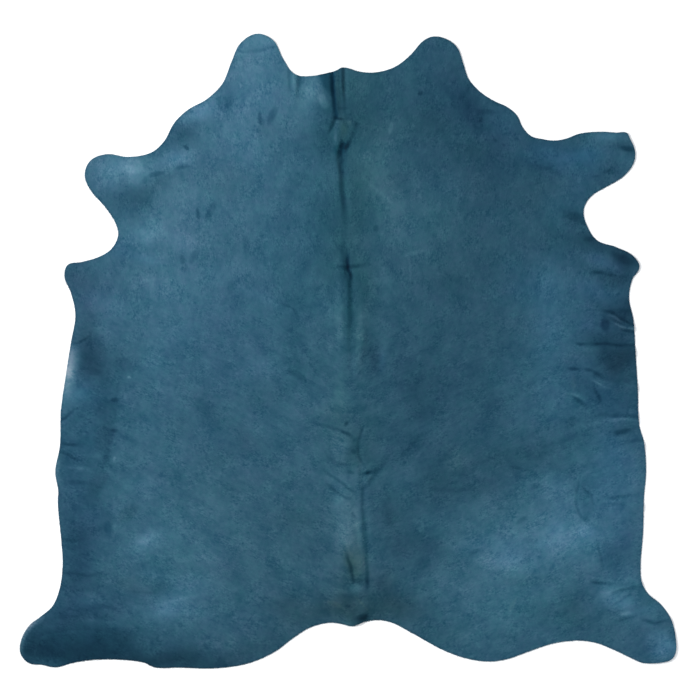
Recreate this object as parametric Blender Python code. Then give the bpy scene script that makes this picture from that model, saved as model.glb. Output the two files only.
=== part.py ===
"""Dyed hair-on cowhide laid out flat: one whole skin, hair side up, trimmed round the neck, shanks and rump.

Metres, +Z up. The nape points to +Y and the tail root to -Y, so a camera straight above the floor sees the
animal's right side at +X. The hide lies on z = 0, and the origin is the middle of its outline on the floor.

The skin is one closed sheet. Its cut edge is a smooth curve through OUTLINE. Where it has dried in folds it
stands off the floor by the sum of FOLDS, and everywhere else its underside is flat on the floor.
"""

from collections import namedtuple

import bpy
import numpy as np
from mathutils import Vector
from mathutils.geometry import delaunay_2d_cdt, interpolate_bezier

CM = 0.01
MM = 0.001

# Driving sizes.
LENGTH = 2.092  # from the cheeks to the hind shanks, along the spine
BACK_SHEET = 3.2 * MM  # leather and flattened hair, along the spine
BELLY_SHEET = 2.4 * MM  # the same at the flanks, where a skin is thinnest

# How finely the sheet is divided.
EDGE_STEP = 1.5 * CM
FLAT_STEP = 6.0 * CM
FOLD_STEP = 2.6 * CM  # along a fold
FOLD_RAILS = (-1.0, -0.5, 0.0, 0.5, 1.0)  # across a fold, in half widths
SPLINE_STEPS = 8  # points read from the curve between two points of a table
CLEARANCE = 0.45  # least distance between two inner points, in steps

# LENGTH at which both tables below are drawn, in centimetres. Another LENGTH scales outline and folds.
DRAWN_LENGTH_CM = 209.2

Stretch = namedtuple("Stretch", "name points_cm")
Fold = namedtuple("Fold", "name half_width_cm crest")

# The cut edge, clockwise from above: a stretch of the skin, then the x and y of its points.
OUTLINE = (
    Stretch("nape", ((-4.4, 92.3), (-1.6, 93.5), (3.0, 92.3), (7.0, 91.8), (11.5, 92.3))),
    Stretch("right cheek", ((16.0, 94.0), (20.5, 97.5), (25.0, 102.4), (28.2, 103.7), (33.0, 102.6))),
    Stretch("right neck", ((36.0, 100.1), (38.0, 94.9), (39.8, 89.7), (43.4, 85.6), (48.0, 82.5))),
    Stretch("right shoulder", (
        (52.6, 80.4), (55.8, 77.6), (57.6, 73.8), (60.3, 70.9), (64.0, 69.9), (68.0, 69.4))),
    Stretch("right fore shank", ((71.5, 69.9), (76.5, 71.7), (84.0, 72.3), (88.5, 72.0), (92.0, 71.9))),
    Stretch("right fore cut", ((93.0, 70.0), (94.6, 66.2), (94.3, 62.4), (91.3, 58.0), (85.1, 54.1))),
    Stretch("right armpit", ((80.6, 51.4), (78.2, 48.2), (77.7, 45.3), (79.0, 41.0), (82.0, 36.6))),
    Stretch("right elbow", ((88.2, 34.3), (93.6, 31.7), (96.0, 28.6), (96.0, 27.1), (93.8, 23.7))),
    Stretch("right girth", ((92.7, 17.5), (94.1, 10.6), (94.8, 0.0), (95.6, -13.0), (96.1, -24.6))),
    Stretch("right flank", ((97.6, -30.0), (98.3, -39.0), (97.6, -48.5), (97.3, -60.0), (96.5, -71.0))),
    Stretch("right hock", ((96.9, -76.3), (99.3, -80.4), (102.8, -83.2), (105.2, -86.1), (106.9, -89.3))),
    Stretch("right hind shank", (
        (108.1, -94.8), (108.0, -99.6), (106.8, -101.6), (104.2, -102.6), (97.0, -102.8))),
    Stretch("right hind cut", ((94.9, -102.0), (88.0, -98.7), (81.5, -96.2), (75.5, -95.5), (67.5, -96.5))),
    Stretch("right rump", ((59.0, -99.3), (52.5, -101.6), (46.5, -102.4), (39.5, -101.5), (32.0, -98.9))),
    Stretch("right buttock", ((20.0, -92.4), (14.5, -89.6), (9.5, -88.7), (5.0, -89.5))),
    Stretch("tail root", ((1.3, -90.8), (-1.8, -90.1), (-6.0, -89.6), (-12.5, -91.2), (-18.0, -94.6))),
    Stretch("left buttock", (
        (-24.0, -99.1), (-33.0, -103.0), (-43.5, -104.6), (-56.0, -104.4), (-63.7, -104.3))),
    Stretch("left rump", (
        (-67.3, -102.8), (-75.0, -101.8), (-84.0, -101.8), (-90.6, -102.8), (-96.5, -104.3))),
    Stretch("left hind shank", ((-100.8, -103.5), (-105.4, -102.8), (-108.0, -99.6), (-107.7, -95.2))),
    Stretch("left hock", (
        (-105.0, -90.4), (-101.6, -87.8), (-97.5, -84.2), (-95.2, -78.8), (-94.1, -71.0))),
    Stretch("left flank", ((-94.6, -62.0), (-95.7, -48.8), (-95.5, -46.8), (-96.5, -39.8), (-95.0, -31.5))),
    Stretch("left girth", ((-94.7, -20.0), (-93.1, -8.5), (-91.2, 3.5), (-89.9, 12.0), (-91.3, 19.0))),
    Stretch("left elbow", ((-93.5, 24.8), (-92.4, 28.4), (-88.0, 29.3), (-82.0, 31.1), (-78.0, 33.7))),
    Stretch("left armpit", ((-75.8, 38.3), (-76.6, 42.0), (-80.1, 47.5), (-84.8, 52.9), (-86.8, 58.0))),
    Stretch("left fore shank", ((-85.0, 62.7), (-79.7, 64.9), (-72.5, 64.0), (-64.6, 65.6), (-60.7, 69.1))),
    Stretch("left shoulder", ((-57.3, 75.2), (-53.0, 79.4), (-46.5, 83.1), (-41.4, 88.2), (-38.4, 95.4))),
    Stretch("left cheek", (
        (-35.5, 101.4), (-30.0, 104.6), (-24.8, 102.6), (-21.4, 96.4), (-17.7, 91.4), (-13.0, 90.6))),
)

# What stands the skin off the floor: a fold, its half width, then the x, y and rise in millimetres of its
# crest from one end to the other. A rise below zero is a groove, pressed into the folds beside it.
FOLDS = (
    Fold("back swell", 10.0, (
        (-2.0, 98.0, 6.0), (-1.5, 66.0, 5.0), (0.5, 20.0, 5.0), (3.0, -40.0, 4.0), (4.5, -86.0, 0.0))),
    Fold("nape swell", 7.0, (
        (-10.0, 98.0, 13.0), (-8.6, 88.0, 11.0), (-7.2, 80.0, 6.0), (-6.4, 71.0, 0.0))),
    Fold("nape groove", 2.2, (
        (-4.4, 98.0, -16.0), (-4.1, 88.0, -14.0), (-3.4, 78.0, -9.0), (-4.8, 72.0, 0.0))),
    Fold("nape roll", 1.8, ((-2.7, 98.0, 7.0), (-2.5, 86.0, 6.0), (-2.2, 76.5, 0.0))),
    Fold("nape line", 1.2, ((-1.2, 98.0, -5.0), (-1.1, 88.0, -4.5), (-1.1, 80.0, 0.0))),
    Fold("withers groove", 1.9, (
        (0.2, 70.0, 0.0), (-2.2, 66.5, -7.0), (-1.5, 58.0, -5.5), (-0.8, 48.0, -3.5), (-0.6, 36.0, 0.0))),
    Fold("withers lip", 2.2, ((-3.4, 74.0, 0.0), (-4.0, 64.0, 3.0), (-3.4, 55.0, 2.5), (-2.8, 44.0, 0.0))),
    Fold("back groove", 1.7, (
        (-0.5, 34.0, 0.0), (-0.1, 28.0, -6.0), (1.1, 22.0, -5.0), (1.1, 2.0, -4.0), (1.3, -10.0, 0.0))),
    Fold("back left lip", 2.0, (
        (-2.6, 31.0, 0.0), (-2.4, 18.0, 3.0), (-2.2, 6.0, 2.5), (-2.4, -10.0, 0.0))),
    Fold("back right lip", 2.2, (
        (4.6, 26.0, 0.0), (4.8, 8.0, 2.5), (4.2, 0.0, 3.5), (3.0, -6.0, 2.0), (3.4, -12.0, 0.0))),
    Fold("loin groove", 1.6, (
        (4.8, -21.0, 0.0), (3.9, -30.0, -1.5), (5.2, -46.0, -3.0), (6.2, -63.0, -4.5),
        (6.6, -75.0, -4.5), (6.4, -82.0, 0.0))),
    Fold("loin strip", 4.4, ((-2.0, -38.0, 0.0), (-0.8, -50.0, 3.5), (0.8, -62.0, 3.5), (2.0, -78.0, 0.0))),
    Fold("left cheek lift", 6.5, (
        (-37.0, 93.0, 0.0), (-34.0, 103.0, 6.0), (-27.0, 105.5, 5.0), (-21.0, 97.0, 0.0))),
    Fold("left nape tuck", 1.6, ((-17.6, 97.0, 5.0), (-17.6, 88.0, 3.5), (-17.4, 80.0, 0.0))),
    Fold("right cheek lift", 6.0, (
        (24.0, 99.0, 0.0), (29.0, 105.0, 5.0), (35.0, 103.5, 3.5), (39.5, 91.0, 0.0))),
    Fold("right fore lift", 6.0, (
        (80.0, 74.0, 0.0), (91.0, 73.5, 4.5), (96.0, 66.0, 3.5), (91.0, 56.0, 0.0))),
    Fold("right elbow lift", 5.0, (
        (84.0, 35.0, 0.0), (94.5, 31.5, 4.0), (97.5, 26.5, 3.5), (94.0, 19.0, 0.0))),
    Fold("right girth tuck 1", 2.4, (
        (79.0, 9.0, 0.0), (87.0, 11.5, 4.0), (92.0, 9.0, 4.0), (99.0, 6.5, 3.5))),
    Fold("right girth tuck 2", 2.4, ((77.0, 0.5, 0.0), (86.0, 1.5, 4.0), (99.0, -1.5, 3.5))),
    Fold("right girth tuck 3", 2.2, ((78.0, -7.5, 0.0), (86.0, -11.0, 4.0), (99.0, -12.5, 3.0))),
    Fold("right flank tuck 1", 2.2, (
        (71.0, -11.0, 0.0), (78.0, -15.5, 3.5), (86.0, -20.0, 4.0), (99.0, -22.5, 3.0))),
    Fold("right flank tuck 2", 2.4, ((82.0, -30.0, 0.0), (90.0, -29.0, 3.5), (101.0, -32.0, 3.0))),
    Fold("right stifle tuck", 2.2, ((83.0, -44.0, 0.0), (88.0, -50.0, 3.0), (101.0, -52.0, 3.0))),
    Fold("right hock tuck 1", 2.4, ((80.0, -76.5, 0.0), (88.0, -78.0, 4.0), (101.0, -76.0, 3.0))),
    Fold("right hock tuck 2", 2.4, ((82.0, -85.0, 0.0), (92.0, -84.0, 4.0), (104.0, -80.5, 3.5))),
    Fold("right hock tuck 3", 2.4, ((88.0, -92.0, 0.0), (98.0, -90.5, 4.0), (110.0, -88.0, 3.5))),
    Fold("right hind lift", 7.0, (
        (108.0, -88.0, 0.0), (110.5, -97.0, 4.5), (104.0, -105.0, 4.0), (92.0, -103.0, 0.0))),
    Fold("tail tuck", 2.2, ((6.8, -82.5, 0.0), (4.7, -86.5, 6.0), (3.4, -92.0, 7.0))),
    Fold("left hind lift", 8.0, (
        (-100.0, -85.0, 0.0), (-109.0, -92.0, 9.0), (-109.5, -100.0, 8.0), (-100.0, -107.0, 0.0))),
    Fold("left rump tuck", 3.0, (
        (-70.0, -88.0, 0.0), (-80.0, -92.5, 4.0), (-95.0, -92.0, 4.0), (-104.0, -95.0, 0.0))),
    Fold("left stifle tuck", 2.4, ((-80.0, -72.0, 0.0), (-88.0, -74.0, 3.0), (-99.0, -71.0, 4.0))),
    Fold("left flank lift", 5.0, ((-95.0, -28.0, 0.0), (-98.5, -37.0, 8.0), (-97.5, -46.0, 0.0))),
    Fold("left flank tuck 1", 2.2, ((-84.0, -36.0, 0.0), (-90.0, -34.5, 3.5), (-99.0, -32.0, 4.0))),
    Fold("left flank tuck 2", 2.2, ((-82.0, -26.0, 0.0), (-89.0, -22.0, 3.5), (-98.0, -19.0, 4.0))),
    Fold("left girth lift", 6.0, (
        (-91.0, 10.0, 0.0), (-94.0, -1.0, 8.0), (-96.5, -10.0, 8.0), (-97.0, -19.0, 0.0))),
    Fold("left elbow lift", 5.0, (
        (-93.0, 17.0, 0.0), (-95.0, 25.0, 6.0), (-92.0, 31.0, 6.0), (-82.0, 33.0, 0.0))),
    Fold("left fore lift", 7.0, (
        (-80.0, 50.0, 0.0), (-88.5, 57.0, 6.0), (-86.0, 65.0, 6.0), (-75.0, 66.0, 0.0))),
)

SCALE = LENGTH / DRAWN_LENGTH_CM  # metres for each centimetre of the tables


def clear_scene():
    for old in list(bpy.data.objects):
        bpy.data.objects.remove(old, do_unlink=True)


def tangent(before, here, after):
    """Unit direction of the curve at a point, half way between the chords that meet there."""
    return ((here - before).normalized() + (after - here).normalized()).normalized()


def smooth_curve(points, closed):
    """Bezier curve through the points, read at SPLINE_STEPS to each chord, as an array of rows."""
    count = len(points)
    spans = count if closed else count - 1
    last = count - 1
    rows = []
    for i in range(spans):
        start, end = points[i], points[(i + 1) % count]
        before = points[i - 1] if closed or i > 0 else start * 2 - end
        after = points[(i + 2) % count] if closed or i + 1 < last else end * 2 - start
        reach = (end - start).length / 3
        leave = start + tangent(before, start, end) * reach
        arrive = end - tangent(start, end, after) * reach
        rows += interpolate_bezier(start, leave, arrive, end, SPLINE_STEPS + 1)[:-1]
    if not closed:
        rows.append(points[last])
    return np.array([tuple(row) for row in rows])


def respaced(rows, step):
    """The same open or closed run of points at an even spacing of about step along its plan."""
    lengths = np.linalg.norm(np.diff(rows[:, :2], axis=0), axis=1)
    along = np.concatenate(([0.0], np.cumsum(lengths)))
    pieces = max(2, round(along[-1] / step))
    stations = np.linspace(0.0, along[-1], pieces + 1)
    return np.column_stack([np.interp(stations, along, column) for column in rows.T])


def middle_of_outline(loop):
    return (loop.min(axis=0) + loop.max(axis=0)) / 2


def outline_loop():
    """The cut edge in metres, evenly spaced and counterclockwise, and the shift that centres it."""
    points = [Vector((x, y, 0.0)) * SCALE for stretch in OUTLINE for x, y in stretch.points_cm]
    curve = smooth_curve(points, closed=True)[:, :2]
    closed = np.vstack((curve, curve[:1]))
    loop = respaced(closed, EDGE_STEP)[:-1][::-1]
    shift = -middle_of_outline(loop)
    return loop + shift, shift


def crest_lines(shift):
    """Each fold's crest as rows of x, y and rise in metres, and its half width in metres."""
    lines = []
    for fold in FOLDS:
        points = [Vector((x * SCALE, y * SCALE, rise * MM)) for x, y, rise in fold.crest]
        rows = smooth_curve(points, closed=False)
        rows[:, :2] += shift
        lines.append((rows, fold.half_width_cm * SCALE))
    return lines


def bell(distance):
    """1 on a crest and 0 from its foot outwards, level at both."""
    return np.clip(1.0 - distance * distance, 0.0, None) ** 2


def fold_rise(places, rows, half_width):
    """What one fold adds at each place: its crest's rise there, less with the distance across."""
    starts, ends = rows[:-1, :2], rows[1:, :2]
    chords = ends - starts
    away = places[:, None, :] - starts[None, :, :]
    along = np.clip((away * chords).sum(axis=2) / (chords * chords).sum(axis=1), 0.0, 1.0)
    gaps = np.linalg.norm(away - along[:, :, None] * chords, axis=2)
    nearest = gaps.argmin(axis=1)
    each = np.arange(len(places))
    share = along[each, nearest]
    rise = rows[nearest, 2] * (1.0 - share) + rows[nearest + 1, 2] * share
    return rise * bell(gaps[each, nearest] / half_width)


def underside(places, lines):
    """Height of the underside over the floor, which no groove reaches through."""
    total = sum(fold_rise(places, rows, half_width) for rows, half_width in lines)
    return np.maximum(total, 0.0)


def sheet_at(places, half_span):
    """Thickness of the sheet, from the back to the bellies."""
    outward = np.clip(np.abs(places[:, 0]) / half_span, 0.0, 1.0)
    return BACK_SHEET + (BELLY_SHEET - BACK_SHEET) * outward ** 2


def inside(places, loop):
    """Whether each place lies within the loop, by counting the edges that a ray to +X crosses."""
    x, y = places[:, 0, None], places[:, 1, None]
    x0, y0 = loop[:, 0], loop[:, 1]
    x1, y1 = np.roll(x0, -1), np.roll(y0, -1)
    spans = (y0 > y) != (y1 > y)
    rise = np.where(y1 == y0, 1.0, y1 - y0)
    crossing = x0 + (y - y0) / rise * (x1 - x0)
    return (spans & (x < crossing)).sum(axis=1) % 2 == 1


def keep_apart(places, taken, clearance):
    """The places that keep the clearance to those taken and to the ones kept before them."""
    kept = list(taken)
    for place in places:
        gaps = np.linalg.norm(np.array(kept) - place, axis=1)
        if gaps.min() > clearance:
            kept.append(place)
    return np.array(kept[len(taken):])


def fold_points(lines, loop):
    """Rows of points along each crest and at its flanks, so that the faces follow the fold."""
    points = []
    for rows, half_width in lines:
        stations = respaced(rows, FOLD_STEP)[:, :2]
        ahead = np.gradient(stations, axis=0)
        ahead /= np.linalg.norm(ahead, axis=1)[:, None]
        across = np.column_stack((-ahead[:, 1], ahead[:, 0]))
        for rail in FOLD_RAILS:
            points.append(stations + across * half_width * rail)
    points = np.vstack(points)
    return points[inside(points, loop)]


def lattice_points(loop):
    """Triangular lattice over the flat parts."""
    low, high = loop.min(axis=0), loop.max(axis=0)
    row_step = FLAT_STEP * np.sqrt(0.75)
    points = []
    for row, y in enumerate(np.arange(low[1], high[1], row_step)):
        offset = FLAT_STEP / 2 * (row % 2)
        points += [(x, y) for x in np.arange(low[0] + offset, high[0], FLAT_STEP)]
    points = np.array(points)
    return points[inside(points, loop)]


def plan_triangles(loop, lines):
    """The sheet's plan as points and counterclockwise triangles, with the loop's points first."""
    ridge = keep_apart(fold_points(lines, loop), loop, CLEARANCE * EDGE_STEP)
    flat = keep_apart(lattice_points(loop), np.vstack((loop, ridge)), CLEARANCE * FLAT_STEP)
    points = [Vector(point) for point in np.vstack((loop, ridge, flat))]
    border = [list(range(len(loop)))]
    inside_only = 1
    plan, _, faces, *_ = delaunay_2d_cdt(points, [], border, inside_only, 1e-6)
    return np.array([tuple(point) for point in plan]), faces


def rim_edges(faces):
    """The edges of the plan that belong to one triangle, each in that triangle's direction."""
    directed = {(face[i - 1], face[i]) for face in faces for i in range(len(face))}
    return [edge for edge in directed if edge[::-1] not in directed]


def sheet_mesh(name):
    """Closed mesh: the underside, the hair side over it, and the cut edge between them."""
    loop, shift = outline_loop()
    lines = crest_lines(shift)
    plan, faces = plan_triangles(loop, lines)
    low = underside(plan, lines)
    high = low + sheet_at(plan, loop[:, 0].max())
    count = len(plan)
    vertices = np.vstack((np.column_stack((plan, low)), np.column_stack((plan, high))))
    down = [tuple(reversed(face)) for face in faces]
    up = [tuple(corner + count for corner in face) for face in faces]
    rim = [(a, b, b + count, a + count) for a, b in sorted(rim_edges(faces))]
    mesh = bpy.data.meshes.new(name)
    mesh.from_pydata(vertices.tolist(), [], down + up + rim)
    mesh.update()
    return mesh


def dyed_hair():
    """Petrol blue dyed coat, dry and slightly glossy."""
    material = bpy.data.materials.new("dyed hair")
    material.use_nodes = True
    shader = material.node_tree.nodes["Principled BSDF"]
    shader.inputs["Base Color"].default_value = (0.032, 0.102, 0.156, 1.0)
    shader.inputs["Roughness"].default_value = 0.62
    shader.inputs["Metallic"].default_value = 0.0
    return material


def make_hide():
    mesh = sheet_mesh("hide")
    mesh.materials.append(dyed_hair())
    mesh.shade_smooth()
    mesh.set_sharp_from_angle(angle=np.radians(40.0))
    hide = bpy.data.objects.new("hide", mesh)
    bpy.context.scene.collection.objects.link(hide)
    return hide


clear_scene()
make_hide()
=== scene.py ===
"""The dyed hair-on cowhide, dressed: coat, folds and creases, dye with painted light and shade, raw edge and
flesh side.
"""

from collections import namedtuple

import bpy
import numpy as np
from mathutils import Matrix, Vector, noise
from mathutils.geometry import delaunay_2d_cdt, interpolate_bezier
from mathutils.kdtree import KDTree


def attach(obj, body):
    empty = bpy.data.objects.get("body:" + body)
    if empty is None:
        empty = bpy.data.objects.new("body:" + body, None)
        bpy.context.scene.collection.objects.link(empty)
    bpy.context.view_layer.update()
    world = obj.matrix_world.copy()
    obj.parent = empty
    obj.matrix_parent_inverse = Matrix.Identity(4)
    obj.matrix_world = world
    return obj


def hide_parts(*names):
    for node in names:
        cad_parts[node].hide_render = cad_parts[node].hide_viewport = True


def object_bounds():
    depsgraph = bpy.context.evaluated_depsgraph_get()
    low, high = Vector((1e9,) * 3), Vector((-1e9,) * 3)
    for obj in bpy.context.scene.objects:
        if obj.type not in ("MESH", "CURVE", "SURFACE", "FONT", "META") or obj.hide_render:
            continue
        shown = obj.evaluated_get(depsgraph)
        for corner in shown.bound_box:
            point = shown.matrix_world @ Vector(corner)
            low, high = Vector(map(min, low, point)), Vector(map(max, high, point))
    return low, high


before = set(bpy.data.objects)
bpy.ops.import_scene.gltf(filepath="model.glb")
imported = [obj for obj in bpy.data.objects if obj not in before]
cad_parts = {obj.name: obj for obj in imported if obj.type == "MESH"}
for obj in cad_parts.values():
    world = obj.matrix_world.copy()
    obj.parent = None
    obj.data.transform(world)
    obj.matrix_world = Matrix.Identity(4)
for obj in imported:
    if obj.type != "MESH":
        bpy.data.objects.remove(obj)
CAD_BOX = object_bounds()

CM = 0.01
MM = 0.001

# The photograph, from straight above.
PHOTO_PIXELS = 700
PIXEL = 3.3 * MM  # of the floor
PHOTO_MIDDLE_CM = (0.66, 0.33)  # on the tables' axes
CAMERA_HEIGHT = 12.0
SENSOR_MM = 36.0

# The studio.
FLOOR_HALF = 6.0
FLOOR_GAP = 0.4 * MM
FLOOR_COLOUR = (0.95, 0.95, 0.95, 1.0)
SKY_COLOUR = (0.95, 0.97, 1.0, 1.0)
SKY_STRENGTH = 0.90
KEY_PLACE = (-6.0, 2.0, 6.0)
KEY_SIZE = 2.6
KEY_WATTS = 530.0

# The sheet.
BACK_SHEET = 3.2 * MM  # leather and flattened hair, along the spine
BELLY_SHEET = 2.4 * MM  # the same at the flanks
LEAST_SHEET = 0.5  # share of it that is left under the deepest crease
CUT_BULGE = 0.3 * MM  # how far the cut edge stands out between its two rims
CUT_ROWS = ((1.0, 0.75), (1.0, 0.3))  # bulge and height of the rows between those rims, as shares

# How finely it is divided.
EDGE_STEP = 5.0 * MM
TOP_STEP = 9.5 * MM
SPINE_STEP = 3.7 * MM
SPINE_REACH = 7.5 * CM  # of the finer strip along the spine, to either side
DETAIL_STEP = 4.7 * MM  # over the marks and streaks
UNDER_STEP = 32.0 * MM
LATTICE_ROW = np.sqrt(0.75)  # from one row of a triangular lattice to the next, in its steps
FOLD_STEP = 9.0 * MM
FOLD_RAILS = (-1.0, -0.7, -0.4, -0.15, 0.15, 0.4, 0.7, 1.0)  # across a fold, in half widths
UNDER_RAILS = (-1.0, -0.5, 0.0, 0.5, 1.0)  # the same on the flesh side
NARROW_CM = 5.0  # a fold of a smaller half width than this has rows of points of its own
TOP_CELL = 0.3 * CM  # that holds one point of those rows at most
UNDER_CELL = 0.8 * CM
CLEARANCE = 0.5  # least gap between points and those already there, in their own steps
EDGE_CLEARANCE = 0.5 * EDGE_STEP
UNDER_CLEARANCE = 0.35 * UNDER_STEP
UNDER_EDGE_CLEARANCE = 0.6 * EDGE_STEP
DETAIL_MARGIN = 0.3  # round a mark, as a share of its half length
SPLINE_STEPS = 8  # points read from the curve between two points of a table
SAME_POINT = 1e-7
SHARP_EDGE = np.radians(50.0)

# The unevenness that no table holds: sizes in metres, and offsets that keep two noises apart.
NAP = ((0.045, 0.35 * MM), (0.016, 0.2 * MM))  # the coat's waves: size and height
WOBBLE = ((0.37, 0.022, 2.2 * MM),)  # of the lines and marks: offset, size and reach
DRIFT = ((3.1, 0.13, 4.0 * CM), (5.3, 0.04, 1.6 * CM))  # of the patches, so that their rims are cloudy
FULL_DRIFT_CM = 7.0  # a narrower patch drifts less
PATCH_FALL = 1.2  # how fast a patch fades from its middle

# The dye, with painted light and shade. A shift says how a change of light shares out between red, green and
# blue, in logs.
DYE = np.array((0.0149, 0.0674, 0.1075))  # linear, at the dye's mean
LIGHT_SHIFT = np.array((1.4, 1.0, 0.92))
MARK_SHIFT = np.array((1.72, 1.0, 0.80))  # for the marks, streaks and creases
MOTTLE_SHIFT = 0.30 * np.array((1.95, 1.0, 0.74))  # for the mottling, with its reach either way
HUE_SHIFT = np.array((0.52, -0.08, 0.10))  # how far the hue wanders either way
MARK_CORE = 0.65  # how far out a mark keeps its full tone, and where it ends, as shares of its half length
MARK_END = 1.35
PAINTED_CREASE_SHADE = 0.20  # painted shade: how much darker the colour is for each millimetre of a crease's depth
PAINTED_RIDGE_HIGHLIGHT = 0.12  # painted highlight: how much lighter for each millimetre of its height

# The lie of the hair, as turns from the spine.
BACK_TURN = np.radians(12.0)  # of the neck and back, rising outwards
RUMP_TURN = np.radians(65.0)  # of the rump and flanks, rising outwards
RUMP_TOP = 0.20  # how far up from the middle the last of that hair reaches, in metres
RUMP_BLEND = 0.16  # over what height one lie gives way to the other
RUMP_WAVER = 0.45  # how far that border wanders
BLOTCH_TURN = np.radians(24.0)  # keeps the blotches' own rows and columns from lining up with the hide

# The coat's pattern from its broadest part to its finest: how much it is drawn out, and its noise.
Grain = namedtuple("Grain", "across along per_metre detail roughness")
HUES = Grain(1.0, 1.0, 8.0, 6.0, 0.95)
BORDER = Grain(1.0, 1.0, 9.0, 2.0, 0.6)  # between the two lies of the hair
BLOTCHES = Grain(1.0, 0.8, 12.0, 3.0, 0.9)
CLOUDING = Grain(1.0, 0.7, 13.0, 3.0, 0.6)
WEAR = Grain(1.0, 1.0, 18.0, 2.0, 0.6)  # where the fine pattern shows strongly or faintly
BANDS = Grain(1.0, 0.3, 26.0, 3.0, 0.75)  # along the hair of the rump and flanks
WISPS = Grain(1.0, 0.45, 40.0, 2.0, 0.6)
LOCKS = Grain(1.0, 0.5, 75.0, 2.0, 0.7)
FLECKS = Grain(0.8, 1.0, 125.0, 1.0, 0.5)  # dark
SPARKS = Grain(1.0, 0.8, 150.0, 1.0, 0.5)  # light
SPECKLE = Grain(1.0, 1.0, 170.0, 1.0, 0.7)
HAIRLINES = Grain(1.0, 0.3, 260.0, 1.0, 0.5)
STAIN = Grain(1.0, 1.0, 5.0, 4.0, 0.6)  # of the flesh side
SUEDE = Grain(1.0, 1.0, 500.0, 3.0, 0.6)
FIBRES = Grain(1.0, 1.0, 700.0, 3.0, 0.6)  # of the cut edge
WEAR_CUT = (0.42, 0.60)  # where wear starts to show and where it is full
CLOUDING_CUT = (0.43, 0.57)
WISPS_CUT = (0.42, 0.58)
FAINT_GRAIN = 0.32  # how strongly the fine pattern shows where it is faintest
STRONG_GRAIN = 1.32  # and where it is strongest
SPECKS = ((FLECKS, 0.62, 0.74, -0.28), (SPARKS, 0.64, 0.76, 0.27))  # start, full tone and that tone

# The materials.
SHEEN = {"Sheen Weight": 0.02, "Sheen Roughness": 0.5, "Sheen Tint": (0.55, 0.80, 1.0, 1.0)}
COAT_ROUGHNESS = (0.55, 0.77)  # between locks and on them
STAIN_SHARE = (-0.4, 1.3)  # of the dye in the suede, where there is least and most of it
SUEDE_BARE = (0.36, 0.36, 0.34)
SUEDE_STAINED = (0.22, 0.29, 0.32)
NAP_TONE = (0.8, 1.2)  # of the suede, low and high in its nap
CUT_DARK = (0.05, 0.10, 0.14)
CUT_PALE = (0.16, 0.22, 0.25)

# The hair that stands out over the cut edge.
SEED = 7
HAIR_TURN = np.radians(24.0)  # how far it lies outwards from the line of the spine
OUTWARD_SHARE = 0.8  # of its direction that is square to the edge
LIE_SHARE = 0.7  # and along its lie
EDGE_HAIRS = 14000
HAIR_LENGTH = (8.0 * MM, 13.0 * MM)
HAIR_WIDTH = (0.5 * MM, 0.9 * MM)
HAIR_REACH = (1.0 * MM, 4.0 * MM)  # how far it stands out where it lies square to the edge
LEAST_REACH = 0.2  # as a share, where it lies back from the edge
HAIR_SPLAY = np.radians(22.0)
HAIR_DROOP = 1.6 * MM
HAIR_LIFT = 0.5 * MM  # of its middle over the coat
HAIR_BEND = 0.55  # how far along it its middle is, as a share
HAIR_TAPER = 0.8  # its width there, as a share of that at its root
ROOT_DEPTH = 0.3 * MM
LEAST_DROOP = 0.2  # this and the lift as shares of the most
LEAST_LIFT = 0.3
HAIR_LOWEST = 0.2 * MM  # over the floor
HAIR_TONE = 0.14  # how unevenly it takes the dye, in logs

DRAWN_LENGTH_CM = 209.2  # the length at which the tables are drawn, in centimetres

Stretch = namedtuple("Stretch", "name points_cm")
Fold = namedtuple("Fold", "name half_width_cm crest")
Spot = namedtuple("Spot", "name x_cm y_cm long_cm wide_cm turn_deg light red blue", defaults=(0, 0))
Streak = namedtuple("Streak", "name left_cm right_cm light red blue line")
Fuzz = namedtuple("Fuzz", "name x_cm y_cm reach_cm longer")


def table(kind, *rows):
    """The rows of a table with named columns."""
    return [kind(*row) for row in rows]


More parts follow.
